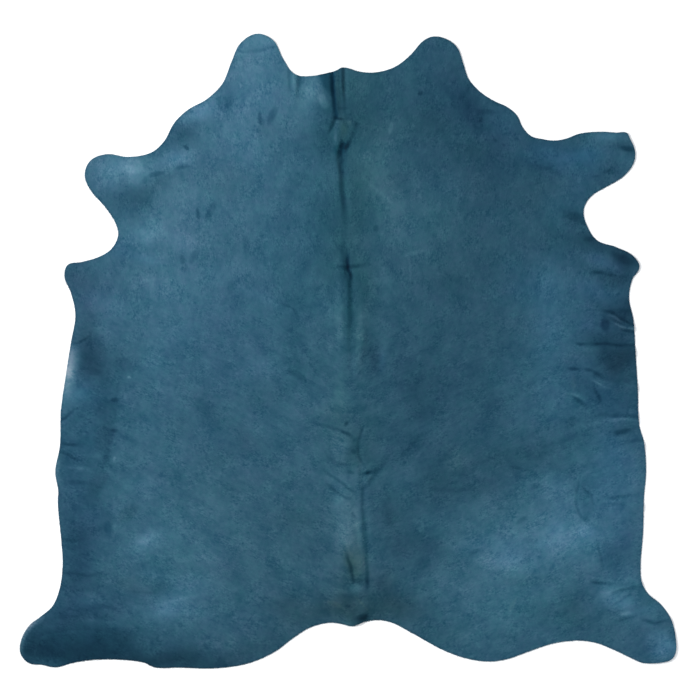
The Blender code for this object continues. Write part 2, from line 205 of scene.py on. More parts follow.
# The cut edge, clockwise from above, as in the solid: a stretch of the skin, then the x and y of its points.
OUTLINE = table(
    Stretch,
    ("nape", ((-4.4, 92.3), (-1.6, 93.5), (3, 92.3), (7, 91.8), (11.5, 92.3))),
    ("right cheek", ((16, 94), (20.5, 97.5), (25, 102.4), (28.2, 103.7), (33, 102.6))),
    ("right neck", ((36, 100.1), (38, 94.9), (39.8, 89.7), (43.4, 85.6), (48, 82.5))),
    ("right shoulder", ((52.6, 80.4), (55.8, 77.6), (57.6, 73.8), (60.3, 70.9), (64, 69.9), (68, 69.4))),
    ("right fore shank", ((71.5, 69.9), (76.5, 71.7), (84, 72.3), (88.5, 72), (92, 71.9))),
    ("right fore cut", ((93, 70), (94.6, 66.2), (94.3, 62.4), (91.3, 58), (85.1, 54.1))),
    ("right armpit", ((80.6, 51.4), (78.2, 48.2), (77.7, 45.3), (79, 41), (82, 36.6))),
    ("right elbow", ((88.2, 34.3), (93.6, 31.7), (96, 28.6), (96, 27.1), (93.8, 23.7))),
    ("right girth", ((92.7, 17.5), (94.1, 10.6), (94.8, 0), (95.6, -13), (96.1, -24.6))),
    ("right flank", ((97.6, -30), (98.3, -39), (97.6, -48.5), (97.3, -60), (96.5, -71))),
    ("right hock", ((96.9, -76.3), (99.3, -80.4), (102.8, -83.2), (105.2, -86.1), (106.9, -89.3))),
    ("right hind shank", ((108.1, -94.8), (108, -99.6), (106.8, -101.6), (104.2, -102.6), (97, -102.8))),
    ("right hind cut", ((94.9, -102), (88, -98.7), (81.5, -96.2), (75.5, -95.5), (67.5, -96.5))),
    ("right rump", ((59, -99.3), (52.5, -101.6), (46.5, -102.4), (39.5, -101.5), (32, -98.9))),
    ("right buttock", ((20, -92.4), (14.5, -89.6), (9.5, -88.7), (5, -89.5))),
    ("tail root", ((1.3, -90.8), (-1.8, -90.1), (-6, -89.6), (-12.5, -91.2), (-18, -94.6))),
    ("left buttock", ((-24, -99.1), (-33, -103), (-43.5, -104.6), (-56, -104.4), (-63.7, -104.3))),
    ("left rump", ((-67.3, -102.8), (-75, -101.8), (-84, -101.8), (-90.6, -102.8), (-96.5, -104.3))),
    ("left hind shank", ((-100.8, -103.5), (-105.4, -102.8), (-108, -99.6), (-107.7, -95.2))),
    ("left hock", ((-105, -90.4), (-101.6, -87.8), (-97.5, -84.2), (-95.2, -78.8), (-94.1, -71))),
    ("left flank", ((-94.6, -62), (-95.7, -48.8), (-95.5, -46.8), (-96.5, -39.8), (-95, -31.5))),
    ("left girth", ((-94.7, -20), (-93.1, -8.5), (-91.2, 3.5), (-89.9, 12), (-91.3, 19))),
    ("left elbow", ((-93.5, 24.8), (-92.4, 28.4), (-88, 29.3), (-82, 31.1), (-78, 33.7))),
    ("left armpit", ((-75.8, 38.3), (-76.6, 42), (-80.1, 47.5), (-84.8, 52.9), (-86.8, 58))),
    ("left fore shank", ((-85, 62.7), (-79.7, 64.9), (-72.5, 64), (-64.6, 65.6), (-60.7, 69.1))),
    ("left shoulder", ((-57.3, 75.2), (-53, 79.4), (-46.5, 83.1), (-41.4, 88.2), (-38.4, 95.4))),
    ("left cheek", (
        (-35.5, 101.4), (-30, 104.6), (-24.8, 102.6), (-21.4, 96.4), (-17.7, 91.4), (-13, 90.6))),
)

# The folds of the solid: a fold, its half width, then the x, y and rise in millimetres of its crest.
FOLDS = table(
    Fold,
    ("back swell", 10, ((-2, 98, 6), (-1.5, 66, 5), (0.5, 20, 5), (3, -40, 4), (4.5, -86, 0))),
    ("nape swell", 7, ((-10, 98, 13), (-8.6, 88, 11), (-7.2, 80, 6), (-6.4, 71, 0))),
    ("nape groove", 2.2, ((-4.4, 98, -16), (-4.1, 88, -14), (-3.4, 78, -9), (-4.8, 72, 0))),
    ("nape roll", 1.8, ((-2.7, 98, 7), (-2.5, 86, 6), (-2.2, 76.5, 0))),
    ("nape line", 1.2, ((-1.2, 98, -5), (-1.1, 88, -4.5), (-1.1, 80, 0))),
    ("withers groove", 1.9, (
        (0.2, 70, 0), (-2.2, 66.5, -7), (-1.5, 58, -5.5), (-0.8, 48, -3.5), (-0.6, 36, 0))),
    ("withers lip", 2.2, ((-3.4, 74, 0), (-4, 64, 3), (-3.4, 55, 2.5), (-2.8, 44, 0))),
    ("back groove", 1.7, ((-0.5, 34, 0), (-0.1, 28, -6), (1.1, 22, -5), (1.1, 2, -4), (1.3, -10, 0))),
    ("back left lip", 2, ((-2.6, 31, 0), (-2.4, 18, 3), (-2.2, 6, 2.5), (-2.4, -10, 0))),
    ("back right lip", 2.2, ((4.6, 26, 0), (4.8, 8, 2.5), (4.2, 0, 3.5), (3, -6, 2), (3.4, -12, 0))),
    ("loin groove", 1.6, (
        (4.8, -21, 0), (3.9, -30, -1.5), (5.2, -46, -3), (6.2, -63, -4.5), (6.6, -75, -4.5), (6.4, -82, 0))),
    ("loin strip", 4.4, ((-2, -38, 0), (-0.8, -50, 3.5), (0.8, -62, 3.5), (2, -78, 0))),
    ("left cheek lift", 6.5, ((-37, 93, 0), (-34, 103, 6), (-27, 105.5, 5), (-21, 97, 0))),
    ("left nape tuck", 1.6, ((-17.6, 97, 5), (-17.6, 88, 3.5), (-17.4, 80, 0))),
    ("right cheek lift", 6, ((24, 99, 0), (29, 105, 5), (35, 103.5, 3.5), (39.5, 91, 0))),
    ("right fore lift", 6, ((80, 74, 0), (91, 73.5, 4.5), (96, 66, 3.5), (91, 56, 0))),
    ("right elbow lift", 5, ((84, 35, 0), (94.5, 31.5, 4), (97.5, 26.5, 3.5), (94, 19, 0))),
    ("right girth tuck 1", 2.4, ((79, 9, 0), (87, 11.5, 4), (92, 9, 4), (99, 6.5, 3.5))),
    ("right girth tuck 2", 2.4, ((77, 0.5, 0), (86, 1.5, 4), (99, -1.5, 3.5))),
    ("right girth tuck 3", 2.2, ((78, -7.5, 0), (86, -11, 4), (99, -12.5, 3))),
    ("right flank tuck 1", 2.2, ((71, -11, 0), (78, -15.5, 3.5), (86, -20, 4), (99, -22.5, 3))),
    ("right flank tuck 2", 2.4, ((82, -30, 0), (90, -29, 3.5), (101, -32, 3))),
    ("right stifle tuck", 2.2, ((83, -44, 0), (88, -50, 3), (101, -52, 3))),
    ("right hock tuck 1", 2.4, ((80, -76.5, 0), (88, -78, 4), (101, -76, 3))),
    ("right hock tuck 2", 2.4, ((82, -85, 0), (92, -84, 4), (104, -80.5, 3.5))),
    ("right hock tuck 3", 2.4, ((88, -92, 0), (98, -90.5, 4), (110, -88, 3.5))),
    ("right hind lift", 7, ((108, -88, 0), (110.5, -97, 4.5), (104, -105, 4), (92, -103, 0))),
    ("tail tuck", 2.2, ((6.8, -82.5, 0), (4.7, -86.5, 6), (3.4, -92, 7))),
    ("left hind lift", 8, ((-100, -85, 0), (-109, -92, 9), (-109.5, -100, 8), (-100, -107, 0))),
    ("left rump tuck", 3, ((-70, -88, 0), (-80, -92.5, 4), (-95, -92, 4), (-104, -95, 0))),
    ("left stifle tuck", 2.4, ((-80, -72, 0), (-88, -74, 3), (-99, -71, 4))),
    ("left flank lift", 5, ((-95, -28, 0), (-98.5, -37, 8), (-97.5, -46, 0))),
    ("left flank tuck 1", 2.2, ((-84, -36, 0), (-90, -34.5, 3.5), (-99, -32, 4))),
    ("left flank tuck 2", 2.2, ((-82, -26, 0), (-89, -22, 3.5), (-98, -19, 4))),
    ("left girth lift", 6, ((-91, 10, 0), (-94, -1, 8), (-96.5, -10, 8), (-97, -19, 0))),
    ("left elbow lift", 5, ((-93, 17, 0), (-95, 25, 6), (-92, 31, 6), (-82, 33, 0))),
    ("left fore lift", 7, ((-80, 50, 0), (-88.5, 57, 6), (-86, 65, 6), (-75, 66, 0))),
)

# Finer creases of the hair side, with the same columns.
CREASES = table(
    Fold,
    ("nape hook", 0.6, ((-4.4, 76.6, -1.6), (-3.2, 76.7, -3.6), (-2.2, 76.5, -4.2), (-1.2, 76, 0))),
    ("nape branch", 0.8, (
        (-3.8, 77.2, -2), (-4.4, 75.8, -2.8), (-5, 74.4, -3), (-5.7, 72.8, -2.6), (-6.8, 71.2, 0))),
    ("nape far branch", 1.2, (
        (3.4, 75.8, 0), (2.8, 74.4, -1.8), (2.3, 72.6, -1.4), (1.4, 70.6, -1.8), (0.8, 68.6, 0))),
    ("withers left arm", 1, ((-2.2, 70.2, 0), (-1.8, 68.4, -2.6), (-2.5, 66.2, -4.2), (-2.4, 63.4, 0))),
    ("withers right arm", 1.1, ((0.6, 70.4, 0), (0.3, 68.6, -5.2), (-0.5, 66.8, -3.6), (-1.2, 65, 0))),
    ("back cross crease", 1.1, ((-2.8, 27.9, -0.6), (-0.4, 27.8, -1.6), (2.4, 27.9, -1.6), (8, 28.8, 0))),
    ("back slit", 0.8, ((-0.1, 32.4, 0), (-0.2, 29, -2.6), (-0.2, 27.4, -3), (1, 25, -2.2), (0.8, 21, 0))),
    ("loin pip", 1, ((0.2, -23, -0.4), (-0.5, -24.2, -2.4), (-0.9, -25.2, 0))),
    ("loin sweep", 0.9, (
        (-12, -23, 0), (-8, -24.7, -1), (-2.6, -26.2, -1.8), (-0.6, -27, -2.8), (1.4, -28.4, -1.2),
        (2.8, -30.2, 0))),
    ("loin thread", 0.8, (
        (4.9, -24.4, 0), (4.7, -26.4, -1.6), (4, -28.6, -1.6), (3.4, -30.6, -0.9), (3.5, -33, -1.4),
        (4.3, -36, -1.8), (5.6, -38, 0))),
    ("loin dimple", 0.9, (
        (4.4, -41.2, 0), (5.4, -40.6, -2.6), (6.4, -40.2, -5.4), (7.6, -39.9, -3.4), (9, -39.4, -1),
        (10.4, -38.4, 0))),
    ("dimple tail", 1.2, ((9.6, -39.4, -1), (8.4, -41.6, -1.9), (6.8, -43.8, -1.8), (5, -45.8, 0))),
    ("dimple ray", 1.7, ((9.4, -39.6, -1.2), (12, -37.2, -1), (16.6, -33.4, -0.5), (21, -31.6, 0))),
    ("loin arc", 1, ((-8, -32.8, 0), (-5.4, -35.8, -1.2), (-2, -37.4, -1.4), (0.8, -37, 0))),
    ("loin chevron 1", 0.8, (
        (-8.6, -38.8, 0), (-6.4, -40.6, -1.6), (-3.6, -42.4, -2.2), (-1, -44.2, -2.2), (1.2, -46, -1.6),
        (3.6, -47, 0))),
    ("loin chevron 2", 0.8, (
        (-8, -42.8, 0), (-5.4, -45, -1.8), (-2.8, -47.2, -2), (-0.4, -48.4, -1.6), (3, -48.8, 0))),
    ("loin crease 1", 0.8, ((0.2, -52.4, 0), (2.2, -54.4, -1.4), (4.6, -56.8, 0))),
    ("loin crease 2", 0.8, ((-3.4, -51.4, 0), (-1.4, -53, -1), (1.4, -54.6, 0))),
    ("tail slit", 1.1, ((-0.9, -66, 0), (0.2, -69.4, -1.4), (1.2, -72.4, -1.4), (2, -76.4, 0))),
    ("tail bracket 1", 0.6, ((2.2, -73.8, 0), (3.8, -73.9, -1), (5.6, -73.7, 0))),
    ("tail bracket 2", 0.7, ((1.6, -75.6, -0.6), (3.6, -76.2, -1.6), (5.2, -75.2, 0))),
    ("tail notch", 1.7, ((2.4, -89.6, -1), (4.4, -88.3, -2.6), (5.8, -87.8, -2.2), (7.4, -88.4, 0))),
    ("left cheek crease", 1, ((-38, 98.6, 0), (-31, 98.8, -1), (-26, 99.7, -1.3), (-22.6, 100.8, -1))),
    ("left nape crease 1", 0.9, ((-19.4, 93, -1.2), (-19.2, 88, -1.4), (-18.8, 83, 0))),
    ("left nape crease 2", 0.9, ((-15.6, 93, -2.6), (-16, 89, -2.2), (-16.8, 83, 0))),
    ("left shank crease", 1, ((-58, 59.9, 0), (-55.6, 60.5, -0.9), (-53, 60.8, -0.8), (-50.6, 60.6, 0))),
    ("right shank crease 1", 1.1, ((84, 60.2, 0), (88, 58.8, -1.2), (91.6, 59.6, 0))),
    ("right shank crease 2", 1.1, ((88, 68.8, 0), (91, 66.8, -1.4), (95.4, 66.2, -1.4))),
    ("right shank crease 3", 1.1, ((60, 61.2, 0), (66, 60.2, -1), (72, 57.6, 0))),
    ("elbow crease", 1.2, (
        (79.4, 24.8, 0), (81.4, 26, -1.9), (84, 25.8, -1.5), (87, 25.2, -1.2), (90.4, 24.4, 0))),
    ("girth crease 1", 0.7, (
        (83.4, 13.6, 0), (86.6, 12.8, -2.4), (89, 11.6, -2.2), (91.4, 9.8, -2.8), (94, 8.8, -2.4),
        (97, 8.2, -1.4))),
    ("girth ridge 1", 0.6, ((84.6, 11.6, 0), (87, 11.6, 1.6), (89, 10.4, 1.6), (91, 9.2, 0))),
    ("girth ridge 2", 0.6, (
        (86.4, 9.6, 0), (88.6, 8.8, 1.8), (90.4, 7.9, 2), (92.4, 7.5, 2.2), (97, 7.1, 1.8))),
    ("girth crease 2", 0.7, ((86.6, 10.6, 0), (88.6, 9.6, -1.6), (90.6, 8.8, 0))),
    ("girth crease 5", 0.7, ((89.4, 7.4, 0), (91.4, 6.7, -2.4), (93.4, 6.4, -2.8), (97, 6.2, -2.4))),
    ("girth crease 3", 0.8, (
        (74.4, 2.8, 0), (76.6, 2.3, -2.4), (79.4, 2.4, -1.2), (82, 2.3, -2.4), (84.6, 2.5, -1.4),
        (88, 2, -3), (92, 1.9, -2.8), (97, 2, -1.6))),
    ("girth crease 4", 0.8, (
        (71.6, -6.2, 0), (75, -5.8, -1.8), (77.6, -6, -0.8), (80.6, -6.6, -1.6), (83.4, -8.2, -1.4),
        (86, -9.6, 0))),
    ("flank crease 1", 0.9, ((71, -14.2, 0), (74, -14.8, -1.6), (76.6, -16.6, -1.8), (79.4, -19, 0))),
    ("flank crease 2", 0.9, ((80.4, -11.4, 0), (82, -13.4, -2.2), (83, -15.6, -2), (83.6, -18, 0))),
    ("flank crease 3", 1, ((80, -21.4, 0), (86, -21.4, -1.8), (92, -21.6, -2), (98, -21.8, -1.8))),
    ("flank crease 4", 1.2, ((86, -27.6, 0), (90, -26.9, -2.2), (93.6, -25.8, -1.4), (99, -23.6, -1))),
    ("flank crease 5", 1, ((90, -31, 0), (94, -29.8, -1.6), (100, -28.8, -1.6))),
    ("stifle crease 1", 0.8, (
        (76.6, -41.4, 0), (75.7, -45.6, -1.4), (75.4, -50, -1.4), (76.6, -54, -1.8), (78.8, -56.8, 0))),
    ("stifle crease 2", 0.7, (
        (77.4, -44.4, 0), (78.6, -46, -2), (80, -47, -1.2), (81, -50.6, -0.8), (80.8, -54.4, 0))),
    ("stifle crease 4", 0.8, ((83, -47.6, 0), (87, -48.6, -1.2), (92, -47.8, -1.4), (97, -47.6, 0))),
    ("stifle crease 5", 0.8, ((84, -52.2, 0), (89, -50.6, -1.2), (94, -51.6, 0))),
    ("stifle crease 3", 0.8, (
        (82.6, -61.4, 0), (82.6, -64.6, -1.2), (83.6, -68, -1.2), (84.2, -72, -1), (86.4, -75.4, 0))),
    ("hock crease 1", 0.9, (
        (79, -76.2, 0), (81, -76.2, -2.6), (83.6, -76.6, -2.2), (88, -76.8, -0.8), (93, -76.9, -0.6),
        (97, -76.6, 0))),
    ("hock crease 2", 0.7, ((85.6, -81.2, 0), (88.6, -79.6, -1.4), (92.4, -78.4, -1.4), (97, -77.6, -0.8))),
    ("hock crease 3", 0.9, (
        (96.4, -88.8, 0), (98.4, -88.8, -1.8), (100.2, -89.6, -2.2), (101.6, -89.9, -1.8),
        (103.6, -89.2, -1.6), (107, -88.9, -0.4))),
    ("hock crease 4", 0.8, ((86.6, -84.8, 0), (88.6, -83.2, -1.4), (92, -81.2, -1.2), (97, -80.2, 0))),
    ("hock crease 5", 0.8, ((88.6, -90, 0), (90.6, -88.7, -1.6), (93.6, -87.8, -1.2), (96, -87.2, 0))),
    ("left girth crease 1", 0.7, (
        (-91.4, 2.2, 0), (-89.4, 2.6, -2), (-87.6, 3.4, -2.6), (-85.8, 4.4, -1.4), (-83.6, 7.2, 0))),
    ("left flank crease 1", 0.8, (
        (-96, -23.2, -2.4), (-93.8, -22.4, -3.4), (-92, -21, -2.2), (-89.6, -19.2, -1.4), (-86, -18.6, 0))),
    ("left flank crease 2", 0.8, (
        (-95, -30.4, 0), (-93.2, -30.6, -3.4), (-91, -30.9, -3.2), (-88.6, -31.1, -0.8), (-85, -31.2, 0))),
    ("left flank crease 3", 0.7, (
        (-96.4, -32.6, -0.6), (-94, -33.4, -2.6), (-91.6, -34.6, -3.2), (-90, -35.6, -2.4),
        (-88.4, -36.2, 0))),
    ("left flank crease 5", 0.7, ((-93, -39, 0), (-91, -39.2, -1.6), (-89, -39.2, 0))),
    ("left flank crease 4", 1.2, ((-94, -43, 0), (-90, -43.4, -1.5), (-86, -43.6, -1), (-83, -44.8, 0))),
    ("left stifle crease 1", 1, ((-97, -62, -1.2), (-91, -62.6, -1.2), (-85, -62, 0))),
    ("left stifle crease 2", 1, ((-97, -72.6, -1.2), (-90, -73.4, -1.4), (-82, -74, 0))),
    ("left hock crease", 1.2, ((-92, -83.2, 0), (-87, -84.2, -1.2), (-80, -84, -0.8), (-75, -84.6, 0))),
)

# Soft patches: the middle, half length, half width and turn, then how much lighter (+) or darker (-) than the
# dye's mean, and how much redder and bluer than green, all three as logarithms.
PATCHES = table(
    Spot,
    # Painted light: the left side lighter and the right side darker, as light falls from the left.
    ("left side", -52, 24, 95, 60, 90, 0.16, 0.02),
    ("right side", 44, 42, 72, 46, 90, -0.2, 0.05, -0.02),
    ("left rear", -40, -60, 60, 34, 0, 0.02, 0.06, -0.02),
    ("left cheek", -31, 88, 30, 18, 80, 0.44),
    ("left cheek tip", -29, 102, 9, 5, 0, 0.26),
    ("left nape", -12.5, 84.5, 9, 4.5, 75, 0.36, 0.04, -0.04),
    ("left cheek rim", -40, 82, 5, 5, 30, -0.2, 0, 0.04),
    ("left shoulder rim", -50, 78.5, 8, 3.5, 20, 0.46, 0, 0.02),
    ("left shoulder shade", -54, 72, 7, 4.5, 50, -0.34, 0, 0.03),
    ("left shoulder glow", -57.5, 63.5, 6.5, 4, 15, 0.48),
    ("left shank glow", -72.5, 61, 9, 6, 0, 0.58, 0, -0.03),
    ("left shank end", -82, 60, 7, 6, 20, 0.2, 0.05),
    ("left shank shade", -70, 52, 12, 5, 35, -0.3, -0.04),
    ("left chest", -58, 47, 16, 11, 20, 0.22, 0.03, -0.03),
    ("left armpit glow", -67, 39, 8, 6, 0, 0.3),
    ("left armpit rim", -67, 30.5, 7, 2, -10, 0.16, 0.04, 0.04),
    ("left ribs", -59, 23, 9, 6, 20, 0.2, 0.04, -0.03),
    ("left elbow", -87, 23, 9, 8, -60, -0.32, 0.16, 0.05),
    ("left girth", -85, 12, 6, 5, 60, -0.18, 0.16, 0.03),
    ("left girth shade", -84, -3, 9, 6, 90, -0.48, 0.1, 0.02),
    ("left girth inner shade", -74, -3, 4, 3.4, 0, -0.08),
    ("left flank", -87, -26, 26, 9, 85, -0.26, -0.1, 0.04),
    ("left flank inner shade", -80, -24, 20, 4, 85, -0.2, -0.02),
    ("left flank glow", -92, -14, 4, 5, 60, 0.3),
    ("left stifle", -89, -63, 22, 7, 85, -0.56, 0.02, 0.07),
    ("left stifle mark", -79.5, -57, 5, 3, 90, -0.3, -0.04, 0.02),
    ("left haunch glow", -67, -62, 6, 3.5, 25, 0.32),
    ("left haunch", -60, -60, 22, 14, 0, 0.16, -0.02),
    ("left thigh glow", -60, -84.5, 8, 3.5, 25, 0.34),
    ("left thigh upper glow", -50, -78, 10, 6, 20, 0.24),
    ("left hock", -90, -87, 20, 5, 8, -0.55, 0, 0.07),
    ("left hind shank", -91, -99, 27, 7, 0, -0.8, -0.11, 0.04),
    ("left hind shank end", -104, -97, 7, 8, 0, -0.35),
    ("left rump shade", -60, -103, 26, 4.5, 0, -0.75),
    ("left buttock", -28, -97, 20, 7, 25, -0.26, 0.13),
    ("left barrel", -42, 4, 20, 13, 90, -0.08, 0.04, 0.04),
    ("left barrel shade", -38, -26, 22, 5, -42, -0.18),
    ("left back shade", -15, 14, 34, 7, 80, -0.12, -0.08),
    ("left back glow", -28, 17, 12, 2, -25, 0.12),
    ("left withers", -14, 45, 22, 8, 85, 0, -0.12),
    ("left crest shade", -9, 72, 12, 4.5, 80, -0.24, -0.12),
    ("spine", 0, 40, 60, 9, 91, -0.12, -0.16, -0.07),
    ("crest", 6, 76, 22, 12, 90, -0.14, -0.1, -0.04),
    ("tail root", 0, -86, 17, 6.5, 0, -0.3, 0.16, -0.13),
    ("tail notch", 4.6, -88.3, 2.6, 1.3, 15, -0.5, -0.1, 0.05),
    ("tail band", 2.2, -81.4, 4.5, 1.2, 0, -0.24, -0.04, 0.03),
    ("tail glow", 2.8, -78.2, 3, 1.3, 0, 0.14, -0.06, 0.02),
    ("tail pale", -3.2, -86, 2.6, 2.6, 0, 0.02),
    ("loin oval", -2.6, -31.5, 5, 2.6, 95, 0.18, 0.05),
    ("loin gleam 1", -4.4, -42.6, 4.2, 1.6, -35, 0.18, -0.05, -0.04),
    ("loin gleam 2", -3.6, -49.6, 3, 2, 60, 0.24, -0.02, -0.03),
    ("loin strip", -0.6, -58, 11, 5.2, 94, 0.36, 0.12, -0.04),
    ("loin strip foot", 2.2, -69, 7, 3.6, 90, 0.04, 0.22, -0.12),
    ("loin inner shade", 1.4, -31.5, 5, 1.8, 90, -0.16),
    ("back light", 19, 43, 20, 11, -35, 0.26, 0.05, -0.05),
    ("back light upper", 10, 62, 14, 9, 70, 0.26, 0.02, -0.05),
    ("right cheek", 29, 95, 14, 12, 70, -0.12, -0.02, 0.02),
    ("right crest", 10, 88, 12, 5, 0, 0.04, -0.02, -0.02),
    ("right neck", 28, 76, 14, 10, 90, -0.18, -0.06),
    ("right neck shade", 40.5, 80, 11, 6, -50, -0.58, 0, 0.1),
    ("right shoulder", 51, 66, 12, 6, 90, -0.22, 0, 0.06),
    ("right shoulder rim", 53, 76, 7, 5, -50, 0, 0, 0.05),
    ("right shank", 72, 64, 14, 6, 5, 0.16, -0.19, 0.08),
    ("right shank glow", 77, 66, 7, 3.5, 20, 0.18),
    ("right shank rim", 86, 71, 6, 2, 0, 0.5),
    ("right shank end shade", 92, 67, 4.5, 3, 0, -0.3, 0.05),
    ("right shank under", 86, 59, 9, 3.5, 35, -0.14, 0.04, 0.02),
    ("right shank root shade", 62, 60.5, 8, 3, -10, -0.25, 0, 0.04),
    ("right armpit", 68, 50, 9, 6, 0, 0.06),
    ("right armpit shade", 75, 44.2, 5, 2.6, -10, -0.42, 0, 0.02),
    ("right armpit rim", 81, 36.6, 5, 2.4, -30, -0.36, 0, 0.02),
    ("right elbow shade", 91.5, 30.8, 6, 3, -25, -0.8, 0.1, 0.04),
    ("right elbow glow", 84, 29.5, 8, 2.2, -20, 0.2, 0.06, 0.08),
    ("right elbow inner", 84, 21, 8, 5, 0, 0.14, 0.05, 0.07),
    ("right girth shade 1", 91, 11.6, 7, 3.6, -14, -0.8, 0.12, 0.08),
    ("right girth shade 2", 90.6, -3.6, 9.5, 6.6, 0, -0.88, 0.14, 0.05),
    ("right girth glow", 80, 7, 5, 3, 0, 0.08, 0.03, 0.03),
    ("right girth mid", 90, 5, 5.5, 3, 0, -0.34, 0.08, 0.04),
    ("right girth edge", 93.4, 15, 3, 1.2, 98, -0.3),
    ("right girth rim", 92, 17, 4, 4, 0, -0.4, 0.05, 0.05),
    ("right girth fade", 81, -14, 9, 4, -30, -0.2, 0, 0.05),
    ("right flank shade", 91, -17, 9, 5, 0, -0.3, 0, 0.06),
    ("right barrel light", 66, 12, 28, 12, 92, 0.36, 0, 0.02),
    ("right barrel foot", 66, -16, 12, 8, 10, 0.22, 0, 0.02),
    ("right back", 22, -14, 18, 9, 90, -0.2, -0.02, 0.02),
    ("right flank", 88, -45, 26, 11, 88, 0.4, -0.02, 0.05),
    ("right stifle foot", 90, -66, 11, 5, 95, -0.22, 0, 0.06),
    ("right haunch", 62, -62, 26, 17, 0, 0.5, 0.02, -0.01),
    ("right haunch glow 1", 72, -60, 10, 9, 60, 0.17, 0, 0.03),
    ("right haunch glow 2", 53, -67, 10, 6, 0, 0.17, 0, 0.03),
    ("right thigh", 50, -84, 24, 12, 0, 0.27, -0.11, -0.03),
    ("right thigh shade", 75, -84, 8, 6, 80, -0.14, 0, -0.03),
    ("right hock glow", 90, -82, 7, 5, -30, 0.5),
    ("right hind shank glow", 104, -97, 5, 7, 20, 0.5, 0, 0.04),
    ("right hind shank", 98, -96, 9, 7, 0, 0.14, 0, 0.02),
    ("right loin shade", 21, -64, 10, 8, 0, -0.3, 0, 0.03),
    ("right loin mark", 13.2, -54, 6, 2.2, 95, -0.22, 0, 0.02),
    ("right loin band", 38, -46, 20, 4, 18, -0.14),
    ("right loin inner band", 28, -42, 14, 4, 30, -0.12),
    ("right flank band", 62, -33, 18, 4.5, 22, -0.1),
    ("right back shade", 8, -2, 7, 3, 100, -0.4, 0.05, 0.06),
    ("right back glint", 11, -3.5, 4, 1.3, 85, 0.3, 0.05, 0.04),
    ("right rump shade", 16, -84, 12, 7, -30, -0.28, 0.06, -0.03),
    ("left neck side", -42, 58, 28, 21, 70, 0.12),
    ("left ribs side", -58, 18, 24, 15, 0, 0.13),
    ("left girth foot", -89, -14, 7, 4, 80, 0.2, 0.05),
    ("left stifle top", -89, -48, 9, 5, 90, 0.18),
    ("left stifle foot", -86, -76, 8, 4, 0, -0.14),
    ("left thigh foot", -54, -86, 10, 4, 0, 0.16),
    ("left rump belt", -74, -96, 15, 4, 0, -0.16),
    ("left loin foot", -20, -84, 6, 5, 0, -0.15),
    ("withers band", 0, 45, 14, 4.5, 90, -0.09),
    ("right crest shade", 20, 75, 6, 5, 0, -0.12),
    ("right neck foot", 41, 65, 6, 5, 0, -0.18),
    ("right armpit side", 72, 37, 13, 8, 0, -0.16, -0.06),
    ("right elbow foot", 91, 25, 5, 4, 0, -0.34, 0.1, 0.05),
    ("right rear side", 26, -24, 27, 17, 75, -0.17),
    ("right loin patch", 31, -44, 8, 4, 20, -0.14),
    ("right belly side", 72, -20, 60, 13, 90, 0, -0.12),
    ("right flank foot", 91, -26, 6, 3, 0, -0.28),
    ("right flank middle", 66, -45, 8, 5, 0, 0.17),
    ("right thigh rim", 67, -85, 10, 5, 0, -0.16, -0.04),
    ("right hock rim", 99, -85, 5, 3, 0, 0.24, -0.14),
    ("right hind foot", 99, -96, 5, 4, 0, -0.18),
    ("right tail side", 10, -76, 6, 5, 0, -0.13, 0.06),
    ("left crest", -11, 88, 4, 4, 0, 0.1),
    ("spine crest", 0, 76, 5, 5, 0, -0.12),
    ("left neck", -28, 76, 7, 5, 0, -0.12),
    ("right cheek foot", 38, 78, 6, 5, 0, 0.12),
    ("right shank top", 74, 67, 7, 4, 0, -0.1),
    ("right shank tip", 91, 64, 4, 5, 0, 0.14),
    ("left shank heel", -80, 54, 6, 5, 0, 0.2),
    ("left neck side foot", -40, 56, 8, 6, 0, -0.18),
    ("withers side", 5, 57, 9, 5, 90, -0.09),
    ("right shoulder side", 31, 54, 7, 6, 0, 0.12),
    ("right ribs", 43, 56, 6, 5, 0, -0.1),
    ("right ribs foot", 59, 52, 7, 7, 0, -0.09),
    ("right chest", 50, 45, 6, 5, 0, 0.09),
    ("right armpit back", 71, 45, 5, 4, 0, 0.18),
    ("right elbow back", 80, 34, 6, 4, 0, -0.18),
    ("right barrel top", 35, 25, 12, 5, 0, -0.09),
    ("left girth heel", -80, 15, 5, 6, 0, 0.12),
    ("back left side", -6, 14, 9, 7, 90, 0.09),
    ("left girth tip", -88, 5, 4, 4, 0, -0.14),
    ("right girth inner foot", 81, 3, 5, 4, 0, -0.22),
    ("left girth mid", -87, -7, 5, 5, 0, 0.12),
    ("left barrel rim", -64, -3, 12, 7, 90, 0.1),
    ("left barrel foot", -31, -6, 7, 5, 0, 0.1),
    ("left flank mid", -80, -16, 5, 6, 90, 0.1),
    ("right barrel heel", 68, -14, 7, 5, 0, -0.11),
    ("left flank low", -84, -31, 8, 6, 90, 0.11),
    ("right loin top", 50, -35, 8, 4, 15, -0.15),
    ("right flank low", 88, -42, 9, 8, 90, -0.12),
    ("left haunch top", -70, -45, 6, 5, 0, 0.1),
    ("loin left side", -2, -45, 5, 4, 0, 0.1),
    ("right loin near", 20, -44, 6, 5, 0, 0.11),
    ("right stifle near", 69, -45, 6, 5, 0, 0.1),
    ("left stifle inner", -80, -56, 5, 6, 0, 0.17),
    ("left loin side", -15, -56, 9, 5, 0, -0.12),
    ("left haunch side", -46, -66, 7, 5, 0, 0.09),
    ("left loin low", -14, -66, 9, 5, 0, -0.1),
    ("right haunch near", 40, -65, 6, 5, 0, 0.16),
    ("right haunch mid", 60, -65, 6, 4, 0, -0.13),
    ("right haunch far", 80, -64, 5, 6, 0, 0.11),
    ("right loin low", 20, -66, 6, 5, 0, -0.08),
    ("right hock near", 91, -74, 5, 4, 0, 0.16),
    ("tail strip low", 0, -76, 14, 5, 0, -0.08),
    ("tail base", 0, -85, 6, 4, 0, -0.18),
    ("left hock heel", -91, -85, 6, 4, 0, 0.02),
    ("left thigh heel", -72, -85, 6, 4, 0, 0.1),
    ("left thigh low", -50, -86, 6, 4, 0, 0.1),
